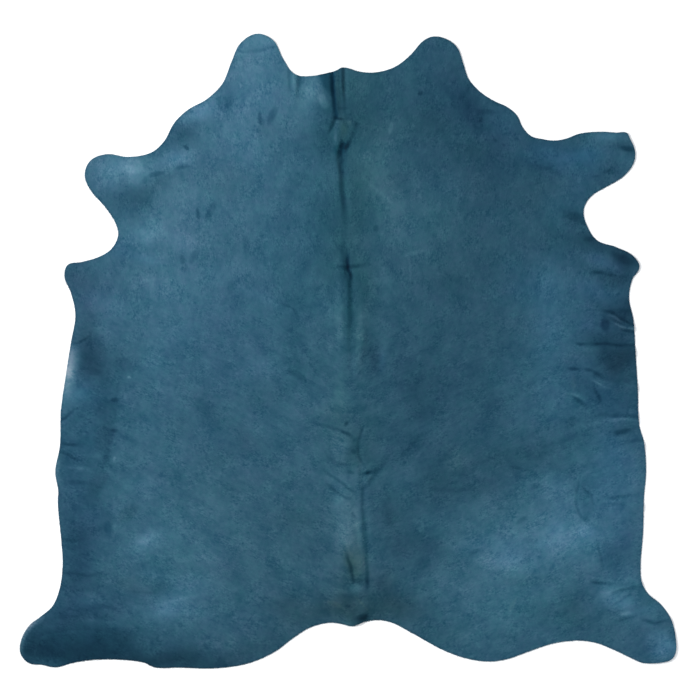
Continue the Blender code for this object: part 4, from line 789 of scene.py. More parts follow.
# Lines in the coat: how far each reaches to the left and to the right of its way, and the same three tones.
# Its line is x, y and the share of the tone that it has there.
# The streaks that run along a fold or crease are painted light: the nape core and line, withers groove and
# shade, back slit core and halo, back groove and its shade, loin parting and tail slit with its shade are
# painted shade in it, and the glints and lips are painted highlights on its ridges.
STREAKS = table(
    Streak,
    ("nape core", 0.9, 1.3, -0.72, -0.3, 0.1, (
        (-4.9, 93.5, 0.8), (-4.9, 88, 1.1), (-4.6, 84, 1.1), (-4.3, 80.4, 1), (-3.9, 77.4, 0.9))),
    ("nape strip", 1.6, 1.4, -0.34, 0.08, -0.05, (
        (-3.1, 94, 1), (-3.1, 86, 1), (-2.9, 79, 0.9), (-2.5, 76.4, 0.3))),
    ("nape line", 1, 0.9, -0.36, 0.1, 0, ((-1.9, 93, 1), (-1.7, 87, 1), (-1.4, 83, 0.7), (-1.5, 79, 0.5))),
    ("crest glint", 0.9, 0.9, 0.4, 0.14, 0.04, (
        (-3.6, 75.4, 0.5), (-4.1, 73, 0.7), (-4.1, 70.5, 1), (-4.2, 68.6, 0.6))),
    ("crest strip", 2.3, 2.3, 0.02, 0.12, -0.13, ((-1.6, 76.6, 0.4), (-1.3, 73.6, 1), (-1.8, 70, 0.5))),
    ("crest spot", 0.9, 0.9, 0.35, 0.1, -0.05, ((0.4, 76.2, 0.3), (0.7, 75.2, 1), (0.8, 74.2, 0.2))),
    ("withers shade", 2, 2, -0.34, -0.06, 0.04, (
        (-1.4, 69, 0.5), (-1.6, 66, 1.1), (-1.4, 62, 0.7), (-1.2, 58, 0.3))),
    ("withers groove", 1.3, 1.3, -0.52, 0.12, 0, (
        (-2.7, 65.6, 0.8), (-2.4, 61, 1), (-2.1, 57, 0.9), (-2, 53, 0.8), (-1.6, 49, 0.6), (-1.4, 45, 0.1))),
    ("withers foot", 1.8, 1.8, -0.32, -0.04, 0, (
        (-1.2, 50.4, 0.3), (-0.9, 46.4, 1), (-0.9, 43, 0.7), (-1.4, 38, 0.4), (-1.7, 34, 1),
        (-0.8, 31, 0.2))),
    ("back slit core", 0.8, 0.8, -0.7, -0.42, 0.1, (
        (0, 31.6, 0.4), (-0.1, 29, 1), (-0.1, 27.4, 1.1), (0.5, 26.2, 1), (0.8, 25, 0.7), (0.9, 23.8, 0.4))),
    ("back slit halo", 3.2, 3, -0.42, 0.02, 0.03, (
        (-0.6, 34, 0.2), (-0.6, 29, 1), (-0.7, 25, 0.8), (0.2, 20, 0.1))),
    ("back right crease", 1.2, 1.2, -0.26, 0, 0, (
        (-5.6, 27.6, 0.2), (-2.4, 27.6, 1), (0.8, 27.6, 0.8), (3, 28, 1), (5, 28.3, 0.5), (8, 28.6, 0.1))),
    ("back groove", 1.5, 1.5, -0.5, -0.22, -0.05, (
        (0.9, 25.2, 0.5), (0.6, 22.6, 0.9), (0.6, 19.4, 0.8), (0.5, 14, 0.5), (0.8, 8, 0.2))),
    ("back groove shade", 3.1, 3.1, -0.28, -0.1, 0, (
        (0.4, 20, 0.2), (0.5, 14, 0.9), (0.8, 10, 1), (0.7, 6, 0.5), (1, -1, 0.4), (1.6, -8, 0.2))),
    ("back left lip", 2.6, 2.6, 0.2, 0.06, 0, (
        (-3.2, 23, 0.3), (-2.8, 14, 0.7), (-2.4, 8, 1.2), (-2.8, 4, 0.9), (-6, 1, 0.4))),
    ("back right lip", 2.2, 1.8, 0.3, 0, -0.03, (
        (3.6, 14, 0.2), (3.8, 8, 0.9), (4, 4, 1), (3.4, 0, 0.6), (2.6, -5, 0.3))),
    ("back lower lip", 2.8, 2.8, 0.26, 0, -0.03, (
        (-1.6, -8, 0.4), (-2.6, -12, 1), (-2.6, -15, 1), (-2, -20, 0.5))),
    ("loin parting", 1, 0.9, -0.4, -0.1, -0.03, (
        (4.9, -45, 0.7), (4.8, -50, 0.5), (5.1, -54, 0.7), (5.3, -57, 0.9), (5.7, -62, 0.7), (6, -66, 0.9),
        (6.2, -70, 1.2), (6.3, -74, 1.2), (6.3, -77.8, 0.6))),
    ("loin parting end", 1.3, 1.3, -0.48, 0, 0.04, (
        (6.2, -73.6, 0.1), (6.3, -75.8, 1), (6.3, -77.6, 0.8), (6.3, -80, 0.2))),
    ("tail slit", 0.8, 1.1, -0.46, 0, -0.02, (
        (-0.6, -66.4, 0.4), (0.1, -68.4, 1), (1, -71, 1), (1.5, -74, 0.8), (1.8, -76.2, 0.9))),
    ("tail slit shade", 2.8, 2.6, -0.12, 0.08, -0.1, ((-0.8, -65.4, 0.5), (0.2, -69, 1), (1.8, -73.6, 0.6))),
    ("loin lip", 1.5, 1.3, 0.3, 0, 0, ((2.6, -50, 0.3), (3, -55, 1), (3.4, -60, 1), (4.2, -66, 0.2))),
    ("left nape glint", 0.8, 0.8, 0.3, 0, 0, ((-17.7, 91.4, 1), (-17.6, 88, 0.9), (-17.4, 84, 0.1))),
    ("girth glint 0", 0.5, 0.5, 0.28, 0.05, 0, (
        (86, 11.9, 0.4), (88, 11.3, 1), (89.6, 10.1, 1), (91.6, 9.1, 0.4))),
    ("girth glint 1", 0.5, 0.5, 0.42, 0.05, 0, (
        (87.6, 9.2, 0.3), (89.4, 8.3, 0.9), (91.6, 7.6, 1), (94.6, 7.3, 1))),
    ("girth glint 2", 1.2, 1.2, 0.1, 0, 0, ((87, 5, 0.2), (91, 4.4, 1), (94.6, 4.2, 1))),
    ("girth glint 3", 1.3, 1.3, 0.25, 0, 0, ((76, 1, 0.4), (79, 0.4, 1), (83, 1, 0.2))),
    ("girth glint 4", 0.6, 0.6, 0.4, 0, 0, (
        (79.6, -9, 0.3), (82.4, -10.6, 1), (85.6, -12.2, 0.6), (88, -12.6, 0.1))),
    ("flank glint 1", 0.7, 0.7, 0.3, 0.05, -0.02, (
        (71, -14, 0.4), (74, -14.2, 1), (77, -15.6, 0.8), (80, -17.4, 0.2))),
    ("flank glint 2", 0.9, 0.9, 0.35, 0, 0, ((84, -23, 0.2), (90, -22.4, 1), (95.6, -22.8, 0.8))),
    ("hock glint 1", 0.5, 0.5, 0.22, 0, 0, (
        (83, -79.8, 0.4), (87, -79.2, 1), (90, -78, 1), (96, -76.9, 0.4))),
    ("hock glint 2", 0.6, 0.6, 0.2, 0, 0, (
        (87, -83.4, 0.3), (88.6, -82.4, 1), (91, -81.4, 0.6), (96, -80.6, 0.1))),
    ("hock glint 3", 0.9, 0.9, 0.36, 0, 0, ((89, -87.6, 0.3), (91.4, -86.7, 1), (94.4, -86.2, 0.4))),
    ("left flank glint", 1.3, 1.3, 0.3, 0, 0, ((-94, -39, 0.6), (-89, -38.6, 1), (-84, -39.6, 0.1))),
    ("left back thread", 0.7, 0.7, -0.32, 0, 0, (
        (-25, 17, 0.1), (-21.6, 15.6, 0.6), (-18.2, 13.8, 1), (-16.2, 11, 0.3))),
    ("back light arc", 0.9, 0.9, 0.16, 0, 0, (
        (4.8, 57.6, 0.4), (8.4, 54, 1), (12, 51, 1), (15.4, 47.8, 0.4))),
    ("right rear wisp 1", 1.2, 1.2, -0.16, 0, 0, (
        (30, -24, 0.2), (24, -28, 1), (18, -34, 1), (14, -38, 0.3))),
    ("right rear wisp 2", 1, 1, 0.12, 0, 0, ((31, -27, 0.3), (27, -30, 1), (22, -36, 0.8), (19, -40, 0.2))),
    ("right rear wisp 3", 1.3, 1.3, -0.15, 0, 0, (
        (36, -30, 0.2), (33, -34, 1), (28, -38, 0.7), (24, -42, 0.2))),
    ("right rear wisp 4", 1.2, 1.2, -0.14, 0, 0, (
        (42, -45, 0.3), (34, -46, 1), (26, -45, 0.9), (20, -43, 0.2))),
    ("right rear wisp 5", 1, 1, -0.14, 0, 0, ((52, -33, 0.2), (46, -36, 1), (40, -38, 0.7), (36, -41, 0.2))),
    ("right rear wisp 6", 0.9, 0.9, 0.12, 0, 0, (
        (70, -33.6, 0.2), (63, -36.6, 1), (56, -36.4, 0.6), (50, -38.4, 0.2))),
    ("right rear wisp 7", 1, 1, -0.12, 0, 0, ((74, -22, 0.2), (67, -25, 1), (60, -28, 0.9), (54, -31, 0.2))),
    ("right haunch foot", 0.3, 2.2, 0.16, 0, 0, (
        (62, -71.6, 0.4), (56, -72.4, 1), (48, -72, 0.8), (42, -71, 0.2))),
    ("left flank edge", 0.4, 2.6, -0.14, 0, 0, (
        (-75.6, -10, 0.3), (-76.2, -16, 1), (-77, -24, 1), (-78.6, -33, 0.8), (-82, -42, 0.3))),
    ("left hind line", 2.8, 0.4, -0.22, 0, 0, (
        (-104, -93.4, 0.3), (-99, -93.2, 1), (-90, -92, 1), (-80, -92.4, 1), (-74, -94.4, 0.6),
        (-71, -98, 0.2))),
    ("left hind glint 1", 1, 1, 0.16, 0, 0, (
        (-98, -89.4, 0.4), (-90, -88.6, 1), (-82, -88.8, 0.8), (-74, -90.6, 0.3))),
    ("left hock wisp 1", 0.8, 0.8, -0.24, 0, 0, ((-90, -73.2, 0.2), (-86, -74.2, 1), (-81.6, -73.2, 0.4))),
    ("left hock wisp 2", 0.9, 0.9, -0.2, 0, 0, ((-92, -79.6, 0.3), (-87, -78.6, 1), (-82, -79.6, 0.3))),
    ("left hock wisp 3", 0.9, 0.9, -0.2, 0, 0, (
        (-94, -84.6, 0.3), (-86, -85.4, 1), (-78, -84.6, 0.7), (-74, -86.6, 0.2))),
    ("left thigh wisp", 0.9, 0.9, 0.14, 0, 0, (
        (-66, -84.4, 0.3), (-58, -82.6, 1), (-50, -80.6, 0.8), (-44, -79.6, 0.2))),
    ("left haunch wisp", 0.8, 0.8, 0.13, 0, 0, (
        (-78, -70.6, 0.3), (-70, -69, 1), (-60, -67.6, 0.9), (-48, -67.4, 0.3))),
    ("left girth rim", 4.2, 3.4, 1.3, 0.02, 0.02, (
        (-90.9, 4, 0.1), (-91.7, -1, 0.7), (-92.6, -7, 1), (-93.4, -11.6, 0.5), (-94.4, -17, 0.22),
        (-95, -22, 0.1))),
    ("left flank rim", 2.6, 2.4, 0.75, 0, 0, (
        (-95.6, -34, 0.3), (-96.6, -38, 1), (-96.6, -41, 0.8), (-95.8, -45, 0.1))),
    ("left hind rim", 2.2, 2.2, 1.7, 0, 0, (
        (-101.6, -88, 0.4), (-105.4, -90.3, 1), (-107.8, -94, 1), (-108.6, -98, 0.8),
        (-107.8, -101.4, 0.2))),
)

# Where the hair at the edge is longer: the place, how far along the edge, and by what share.
FUZZ = table(
    Fuzz,
    ("right neck", 42.5, 86.5, 5, 1.4),
    ("right shoulder", 49, 82.2, 3, 0.8),
    ("right cheek", 31, 103.2, 3, 0.7),
    ("right armpit", 79.2, 41.2, 3, 1.2),
    ("right elbow", 88.5, 34.4, 5, 1.2),
    ("left rump", -84, -102.1, 8, 0.5),
)


def table_scale():
    """Metres for each centimetre of the tables, from the length of the solid."""
    low, high = CAD_BOX
    return (high.y - low.y) / DRAWN_LENGTH_CM


SCALE = table_scale()


# Curves and heights.


def tangent(before, here, after):
    """Unit direction of the curve at a point, half way between the chords that meet there."""
    return ((here - before).normalized() + (after - here).normalized()).normalized()


def smooth_curve(points, closed):
    """Bezier curve through the points, read at SPLINE_STEPS to each chord, as an array of rows."""
    count = len(points)
    spans = count if closed else count - 1
    last = count - 1
    rows = []
    for i in range(spans):
        start, end = points[i], points[(i + 1) % count]
        before = points[i - 1] if closed or i > 0 else start * 2 - end
        after = points[(i + 2) % count] if closed or i + 1 < last else end * 2 - start
        reach = (end - start).length / 3
        leave = start + tangent(before, start, end) * reach
        arrive = end - tangent(start, end, after) * reach
        rows += interpolate_bezier(start, leave, arrive, end, SPLINE_STEPS + 1)[:-1]
    if not closed:
        rows.append(points[last])
    return np.array([tuple(row) for row in rows])


def respaced(rows, step):
    """The same run of points at an even spacing of about step along its plan."""
    lengths = np.linalg.norm(np.diff(rows[:, :2], axis=0), axis=1)
    along = np.concatenate(([0.0], np.cumsum(lengths)))
    pieces = max(2, round(along[-1] / step))
    stations = np.linspace(0.0, along[-1], pieces + 1)
    return np.column_stack([np.interp(stations, along, column) for column in rows.T])


def outline_loop():
    """The cut edge, evenly spaced and counterclockwise, and the shift that centres it on the origin."""
    points = [Vector((x, y, 0.0)) * SCALE for stretch in OUTLINE for x, y in stretch.points_cm]
    curve = smooth_curve(points, closed=True)[:, :2]
    loop = respaced(np.vstack((curve, curve[:1])), EDGE_STEP)[:-1][::-1]
    shift = -(loop.min(axis=0) + loop.max(axis=0)) / 2
    return loop + shift, shift


LOOP, SHIFT = outline_loop()


def placed(points_cm):
    """Points of a table, with a z of 0 or of their third column in millimetres, on the floor's axes."""
    rows = []
    for x, y, *rise in points_cm:
        z = rise[0] * MM if rise else 0.0
        rows.append(Vector((x * SCALE + SHIFT[0], y * SCALE + SHIFT[1], z)))
    return rows


def bell(distance):
    """1 on a crest and 0 from its foot outwards, level at both."""
    return np.clip(1.0 - distance * distance, 0.0, None) ** 2


def near_line(places, rows, reach):
    """Which places lie near the line, their distance to it, above 0 on its left, and its z there."""
    low, high = rows[:, :2].min(axis=0) - reach, rows[:, :2].max(axis=0) + reach
    found = np.nonzero(((places[:, :2] > low) & (places[:, :2] < high)).all(axis=1))[0]
    starts, ends = rows[:-1, :2], rows[1:, :2]
    chords = ends - starts
    away = places[found, None, :2] - starts[None, :, :]
    along = np.clip((away * chords).sum(axis=2) / (chords * chords).sum(axis=1), 0.0, 1.0)
    gaps = np.linalg.norm(away - along[:, :, None] * chords, axis=2)
    nearest = gaps.argmin(axis=1)
    each = np.arange(len(found))
    share = along[each, nearest]
    height = rows[nearest, 2] * (1.0 - share) + rows[nearest + 1, 2] * share
    left = chords[nearest, 0] * away[each, nearest, 1] > chords[nearest, 1] * away[each, nearest, 0]
    return found, np.where(left, 1.0, -1.0) * gaps[each, nearest], height


def fold_height(places, folds):
    """Sum of the folds over the places."""
    total = np.zeros(len(places))
    for fold in folds:
        half_width = fold.half_width_cm * SCALE
        rows = smooth_curve(placed(fold.crest), closed=False)
        found, gap, rise = near_line(places, rows, half_width)
        total[found] += rise * bell(gap / half_width)
    return total


def waves(places, size, amount):
    """Smooth noise of that size and amount at each place."""
    return np.array([noise.noise(Vector((x / size, y / size, size))) for x, y in places[:, :2]]) * amount


def sheet_at(places):
    """Thickness of the sheet, from the back to the bellies."""
    outward = np.clip(np.abs(places[:, 0]) / LOOP[:, 0].max(), 0.0, 1.0)
    return BACK_SHEET + (BELLY_SHEET - BACK_SHEET) * outward ** 2


def underside(places):
    """Height of the flesh side over the floor."""
    return np.maximum(fold_height(places, FOLDS), 0.0)


def hair_side(places):
    """Height of the hair side over the floor: the folds, the fine creases and the unevenness of the coat."""
    low = underside(places)
    sheet = sheet_at(places)
    creases = fold_height(wobbled(places), CREASES)
    nap = sum(waves(places, size, height) for size, height in NAP)
    return low + np.maximum(sheet + creases + nap, LEAST_SHEET * sheet)


# The plan of the mesh.


def lattice_points(step, reach=np.inf):
    """Triangular lattice within the outline and within reach of the spine, row by row between its edges."""
    low, high = LOOP.min(axis=0), LOOP.max(axis=0)
    ends = np.roll(LOOP, -1, axis=0)
    points = []
    for row, y in enumerate(np.arange(low[1] + step / 2, high[1], step * LATTICE_ROW)):
        crossed = (LOOP[:, 1] > y) != (ends[:, 1] > y)
        start, end = LOOP[crossed], ends[crossed]
        share = (y - start[:, 1]) / (end[:, 1] - start[:, 1])
        crossings = np.sort(start[:, 0] + share * (end[:, 0] - start[:, 0]))
        offset = low[0] + step / 2 * (row % 2)
        for enter, leave in zip(crossings[::2], crossings[1::2]):
            first = offset + np.ceil((enter - offset) / step) * step
            points += [(x, y) for x in np.arange(first, leave, step)]
    points = np.array(points)
    return points[np.abs(points[:, 0]) < reach]


def inside(places):
    """Whether each place lies within the outline, by counting the edges that a ray to +X crosses."""
    x0, y0 = LOOP[:, 0], LOOP[:, 1]
    x1, y1 = np.roll(x0, -1), np.roll(y0, -1)
    rise = np.where(y1 == y0, 1.0, y1 - y0)
    result = []
    for x, y in places[:, :2]:
        crossing = x0 + (y - y0) / rise * (x1 - x0)
        result.append((((y0 > y) != (y1 > y)) & (x < crossing)).sum() % 2 == 1)
    return np.array(result)


def fold_points(folds, rails):
    """Rows of points along each crest and at its flanks, so that the faces follow the fold."""
    points = []
    for fold in folds:
        stations = respaced(smooth_curve(placed(fold.crest), closed=False), FOLD_STEP)[:, :2]
        ahead = np.gradient(stations, axis=0)
        ahead /= np.linalg.norm(ahead, axis=1)[:, None]
        across = np.column_stack((-ahead[:, 1], ahead[:, 0]))
        for rail in rails:
            points.append(stations + across * fold.half_width_cm * SCALE * rail)
    points = np.vstack(points)
    return points[inside(points)]


def thinned(points, cell):
    """At most one of the points in each square cell, on two grids in turn."""
    for offset in (0.0, cell / 2):
        cells = np.floor((points + offset) / cell).astype(int)
        _, first = np.unique(cells, axis=0, return_index=True)
        points = points[np.sort(first)]
    return points


def apart(points, taken, clearance):
    """The points that keep the clearance to those already taken."""
    tree = KDTree(len(taken))
    for i, (x, y) in enumerate(taken):
        tree.insert((x, y, 0.0), i)
    tree.balance()
    gaps = np.array([tree.find((x, y, 0.0))[2] for x, y in points])
    return points[gaps > clearance]


def detail_points():
    """A finer lattice over the marks and streaks, but for the strip along the spine, for crisp rims."""
    fine = lattice_points(DETAIL_STEP)
    fine = fine[np.abs(fine[:, 0]) > SPINE_REACH]
    busy = np.zeros(len(fine), bool)
    for mark in MARKS:
        busy |= off_middle(fine, mark) < MARK_END + DETAIL_MARGIN
    for streak in STREAKS:
        reach = max(streak.left_cm, streak.right_cm) * SCALE
        found, gap, _ = near_line(fine, smooth_curve(placed(streak.line), closed=False), reach)
        busy[found[np.abs(gap) < reach]] = True
    return fine[busy]


def triangulated(inner):
    """The outline's points, then the inner ones, and counterclockwise triangles between them."""
    points = [Vector(point) for point in np.vstack((LOOP, inner))]
    border = [list(range(len(LOOP)))]
    inside_only = 1
    _, _, faces, origin, *_ = delaunay_2d_cdt(points, [], border, inside_only, SAME_POINT)
    return np.vstack((LOOP, inner)), np.array([[origin[corner][0] for corner in face] for face in faces])


def narrow_points(folds, rails, cell, clearance):
    """Rows of points over the narrow ones of the folds, clear of the outline."""
    narrow = [fold for fold in folds if fold.half_width_cm < NARROW_CM]
    return apart(thinned(fold_points(narrow, rails), cell), LOOP, clearance)


def top_plan():
    """The plan of the hair side, finest along the spine and over the marks."""
    taken = narrow_points(FOLDS + CREASES, FOLD_RAILS, TOP_CELL, EDGE_CLEARANCE)
    for points, step in (
        (lattice_points(SPINE_STEP, SPINE_REACH), SPINE_STEP),
        (detail_points(), DETAIL_STEP),
        (lattice_points(TOP_STEP), TOP_STEP),
    ):
        taken = np.vstack((taken, apart(points, np.vstack((LOOP, taken)), CLEARANCE * step)))
    return triangulated(taken)


def under_plan():
    """The plan of the flesh side, which is plain."""
    ridge = narrow_points(FOLDS, UNDER_RAILS, UNDER_CELL, UNDER_EDGE_CLEARANCE)
    flat = apart(lattice_points(UNDER_STEP), np.vstack((LOOP, ridge)), UNDER_CLEARANCE)
    return triangulated(np.vstack((ridge, flat)))


def outward_of_loop():
    """Unit direction out of the hide at each point of its outline."""
    ahead = np.roll(LOOP, -1, axis=0) - np.roll(LOOP, 1, axis=0)
    ahead /= np.linalg.norm(ahead, axis=1)[:, None]
    return np.column_stack((ahead[:, 1], -ahead[:, 0]))


# The dye, with painted light and shade.


def wandered(places, noises):
    """How far noises of those offsets, sizes and reaches move each place."""
    away = np.zeros((len(places), 2))
    for offset, size, reach in noises:
        for column in (0, 1):
            away[:, column] += waves(places + offset * (column + 1), size, reach)
    return away


def wobbled(places):
    """The places, moved a little, so that a line drawn through them is uneven."""
    return places[:, :2] + wandered(places, WOBBLE)


def off_middle(places, spot):
    """Distance of each place from a spot's middle, 1 at the ends of its half length and half width."""
    away = places[:, :2] - np.array(placed([(spot.x_cm, spot.y_cm)])[0].xy)
    turn = np.radians(spot.turn_deg)
    along = (away[:, 0] * np.cos(turn) + away[:, 1] * np.sin(turn)) / (spot.long_cm * SCALE)
    across = (away[:, 1] * np.cos(turn) - away[:, 0] * np.sin(turn)) / (spot.wide_cm * SCALE)
    return np.hypot(along, across)


def patch_tones(places):
    """Light, red and blue of the soft patches at each place, in logs."""
    tones = np.zeros((len(places), 3))
    drift = wandered(places, DRIFT)
    for patch in PATCHES + CLOUDS:
        moved = places[:, :2] + drift * min(1.0, patch.wide_cm / FULL_DRIFT_CM)
        share = np.exp(-PATCH_FALL * off_middle(moved, patch) ** 2)
        tones += share[:, None] * (patch.light, patch.red, patch.blue)
    return tones


def mark_and_painted_light_tones(places):
    """The same of the marks and streaks, with painted shade in the creases and painted highlight on their
    ridges.
    """
    tones = np.zeros((len(places), 3))
    wavy = wobbled(places)
    for mark in MARKS:
        inward = np.clip((MARK_END - off_middle(wavy, mark)) / (MARK_END - MARK_CORE), 0.0, 1.0)
        share = inward * inward * (3.0 - 2.0 * inward)
        tones += share[:, None] * (mark.light, mark.red, mark.blue)
    for streak in STREAKS:
        rows = smooth_curve(placed(streak.line), closed=False)
        found, gap, share = near_line(wavy, rows, max(streak.left_cm, streak.right_cm) * SCALE)
        reach = np.where(gap > 0.0, streak.left_cm, streak.right_cm) * SCALE
        share = share / MM * bell(gap / reach)  # near_line gives it in metres, as it gives a rise
        tones[found] += share[:, None] * (streak.light, streak.red, streak.blue)
    # Painted shade in the creases and painted highlight on their ridges, from their depth and height.
    depth = fold_height(wavy, CREASES) / MM
    tones[:, 0] += np.where(depth < 0.0, PAINTED_CREASE_SHADE, PAINTED_RIDGE_HIGHLIGHT) * depth
    return tones


def coat_dye_and_painted_light(places):
    """Linear colour of the dyed hair at each place, with its painted light and shade."""
    patches, marks = patch_tones(places), mark_and_painted_light_tones(places)
    hue = patches[:, 1:] + marks[:, 1:]
    shift = patches[:, :1] * LIGHT_SHIFT + marks[:, :1] * MARK_SHIFT
    return DYE * np.exp(shift + np.insert(hue, 1, 0.0, axis=1))


# The pieces.


def write_colours(mesh, colours):
    """Gives each vertex its dye, with its painted light and shade."""
    layer = mesh.color_attributes.new("dye", "FLOAT_COLOR", "POINT")
    rgba = np.ones((len(colours), 4), np.float32)
    rgba[:, :3] = colours
    layer.data.foreach_set("color", rgba.ravel())


def linked(name, content):
    """A mesh, light or camera as an object of the scene."""
    made = bpy.data.objects.new(name, content)
    bpy.context.scene.collection.objects.link(made)
    return made


def edge_faces(starts, rim):
    """Faces of the cut edge, between rows of rim points whose first vertices are given from the top down."""
    faces = []
    for upper, lower in zip(starts[:-1], starts[1:]):
        for i in range(rim):
            j = (i + 1) % rim
            faces.append((lower + i, lower + j, upper + j, upper + i))
    return faces


def make_hide(materials):
    """The sheet: hair side, flesh side and the cut edge that joins them."""
    top, top_faces = top_plan()
    under, under_faces = under_plan()
    rim = len(LOOP)
    high, low = hair_side(top), underside(under)
    outward = outward_of_loop() * CUT_BULGE
    rows = [np.column_stack((top, high))]
    for bulge, share in CUT_ROWS:
        height = low[:rim] + (high[:rim] - low[:rim]) * share
        rows.append(np.column_stack((LOOP + outward * bulge, height)))
    rows.append(np.column_stack((under, low)))
    starts = np.cumsum([0] + [len(row) for row in rows[:-1]]).tolist()
    sides = (top_faces.tolist(), (under_faces[:, ::-1] + starts[-1]).tolist(), edge_faces(starts, rim))
    vertices = np.vstack(rows)
    mesh = bpy.data.meshes.new("hide")
    mesh.from_pydata(vertices.tolist(), [], sum(sides, []))
    for material in materials:
        mesh.materials.append(material)
    mesh.polygons.foreach_set("material_index", np.repeat((0, 1, 2), [len(side) for side in sides]))
    write_colours(mesh, coat_dye_and_painted_light(vertices))
    mesh.shade_smooth()
    mesh.set_sharp_from_angle(angle=SHARP_EDGE)
    mesh.update()
    return linked("hide_sheet", mesh)


def hair_lie(places):
    """Unit direction in which the hair lies: tailwards, and outwards from the spine."""
    side = np.sign(places[:, 0])
    return np.column_stack((side * np.sin(HAIR_TURN), np.full(len(places), -np.cos(HAIR_TURN))))


def longer_hair(places):
    """How many times as long the hair at the edge is at each place."""
    longer = np.ones(len(places))
    for fuzz in FUZZ:
        middle = np.array(placed([(fuzz.x_cm, fuzz.y_cm)])[0].xy)
        longer += fuzz.longer * bell(np.linalg.norm(places - middle, axis=1) / (fuzz.reach_cm * SCALE))
    return longer


def turned(ways, turn):
    """Plan directions, turned counterclockwise."""
    return ways * np.cos(turn) + np.column_stack((-ways[:, 1], ways[:, 0])) * np.sin(turn)


def hair_lines(chance):
    """Root, tip and direction of each hair along the cut edge whose root lies on the hide."""
    count = EDGE_HAIRS
    corner = chance.integers(0, len(LOOP), count)
    share = chance.random((count, 1))
    edge = LOOP[corner] * (1.0 - share) + np.roll(LOOP, -1, axis=0)[corner] * share
    outward = outward_of_loop()[corner]
    lie = hair_lie(edge)
    way = turned(outward * OUTWARD_SHARE + lie * LIE_SHARE, chance.normal(0.0, HAIR_SPLAY, (count, 1)))
    way /= np.linalg.norm(way, axis=1)[:, None]
    square = np.clip((outward * lie).sum(axis=1), 0.0, 1.0) * (1.0 - LEAST_REACH) + LEAST_REACH
    longer = longer_hair(edge)
    reach = chance.uniform(*HAIR_REACH, count) * square * longer
    length = chance.uniform(*HAIR_LENGTH, count) * np.sqrt(longer)
    tip = edge + outward * reach[:, None]
    root = tip - way * length[:, None]
    inner = inside(root)
    return root[inner], tip[inner], way[inner]


def make_edge_hair(material):
    """Short hair along the cut edge: tapered blades that lie on the coat and reach a little beyond it."""
    chance = np.random.default_rng(SEED)
    root, tip, way = hair_lines(chance)
    count = len(root)
    middle = root * (1.0 - HAIR_BEND) + tip * HAIR_BEND
    across = np.column_stack((-way[:, 1], way[:, 0])) * chance.uniform(*HAIR_WIDTH, (count, 1)) / 2
    lift = chance.uniform(LEAST_LIFT, 1.0, count) * HAIR_LIFT
    droop = chance.uniform(LEAST_DROOP, 1.0, count) * HAIR_DROOP
    root_z = hair_side(root) - ROOT_DEPTH
    middle_z = hair_side(middle) + lift
    tip_z = np.maximum(hair_side(tip) - droop, HAIR_LOWEST)
    corners = (
        np.column_stack((root - across, root_z)),
        np.column_stack((root + across, root_z)),
        np.column_stack((middle + across * HAIR_TAPER, middle_z)),
        np.column_stack((middle - across * HAIR_TAPER, middle_z)),
        np.column_stack((tip, tip_z)),
    )
    first = np.arange(count) * len(corners)
    faces = [(i, i + 1, i + 2, i + 3) for i in first] + [(i + 3, i + 2, i + 4) for i in first]
    mesh = bpy.data.meshes.new("edge_hair")
    mesh.from_pydata(np.stack(corners, axis=1).reshape(-1, 3).tolist(), [], faces)
    mesh.materials.append(material)
    tone = np.exp(chance.normal(0.0, HAIR_TONE, (count, 1)))
    write_colours(mesh, np.repeat(coat_dye_and_painted_light(root) * tone, len(corners), axis=0))
    mesh.shade_smooth()
    mesh.update()
    return linked("edge_hair", mesh)


# Materials.


def new_material(name, roughness, specular):
    material = bpy.data.materials.new(name)
    material.use_nodes = True
    shader = material.node_tree.nodes["Principled BSDF"]
    shader.inputs["Roughness"].default_value = roughness
    shader.inputs["Specular IOR Level"].default_value = specular
    return material, material.node_tree, shader


def node(tree, kind, inputs=(), **settings):
    """A new node with its settings, and numbers or links in its named inputs."""
    made = tree.nodes.new(kind)
    for key, value in settings.items():
        setattr(made, key, value)
    for name, value in dict(inputs).items():
        if isinstance(value, bpy.types.NodeSocket):
            tree.links.new(value, made.inputs[name])
        else:
            made.inputs[name].default_value = value
    return made


def object_place(tree):
    return node(tree, "ShaderNodeTexCoord").outputs["Object"]


def noise_node(tree, place, grain):
    """Noise from 0 to 1 of a grain, at places already drawn out as the grain says."""
    inputs = {
        "Vector": place, "Scale": grain.per_metre, "Detail": grain.detail, "Roughness": grain.roughness}
    return node(tree, "ShaderNodeTexNoise", inputs).outputs["Fac"]


def ranged(tree, value, low, high):
    """value from 0 to 1, moved to run from low to high."""
    return node(tree, "ShaderNodeMapRange", {"Value": value, "To Min": low, "To Max": high}).outputs["Result"]


def cut_off(tree, value, low, high):
    """0 up to low and 1 from high onwards."""
    inputs = {"Value": value, "From Min": low, "From Max": high}
    return node(tree, "ShaderNodeMapRange", inputs, interpolation_type="SMOOTHSTEP").outputs["Result"]


def math_node(tree, operation, first, second):
    inputs = {0: first, 1: second}
    return node(tree, "ShaderNodeMath", inputs, operation=operation).outputs["Value"]


def mirrored_place(tree):
    """Places on the hide, with its left half folded over onto the right one."""
    split = node(tree, "ShaderNodeSeparateXYZ", {"Vector": object_place(tree)})
    outward = math_node(tree, "ABSOLUTE", split.outputs["X"], 0.0)
    return node(tree, "ShaderNodeCombineXYZ", {"X": outward, "Y": split.outputs["Y"]}).outputs["Vector"]


def blotch_noise(tree, grain):
    """Noise of blotches that are drawn out down the hide."""
    inputs = {
        "Vector": mirrored_place(tree),
        "Rotation": (0.0, 0.0, -BLOTCH_TURN),
        "Scale": (grain.across, grain.along, 1.0),
    }
    return noise_node(tree, node(tree, "ShaderNodeMapping", inputs).outputs["Vector"], grain)


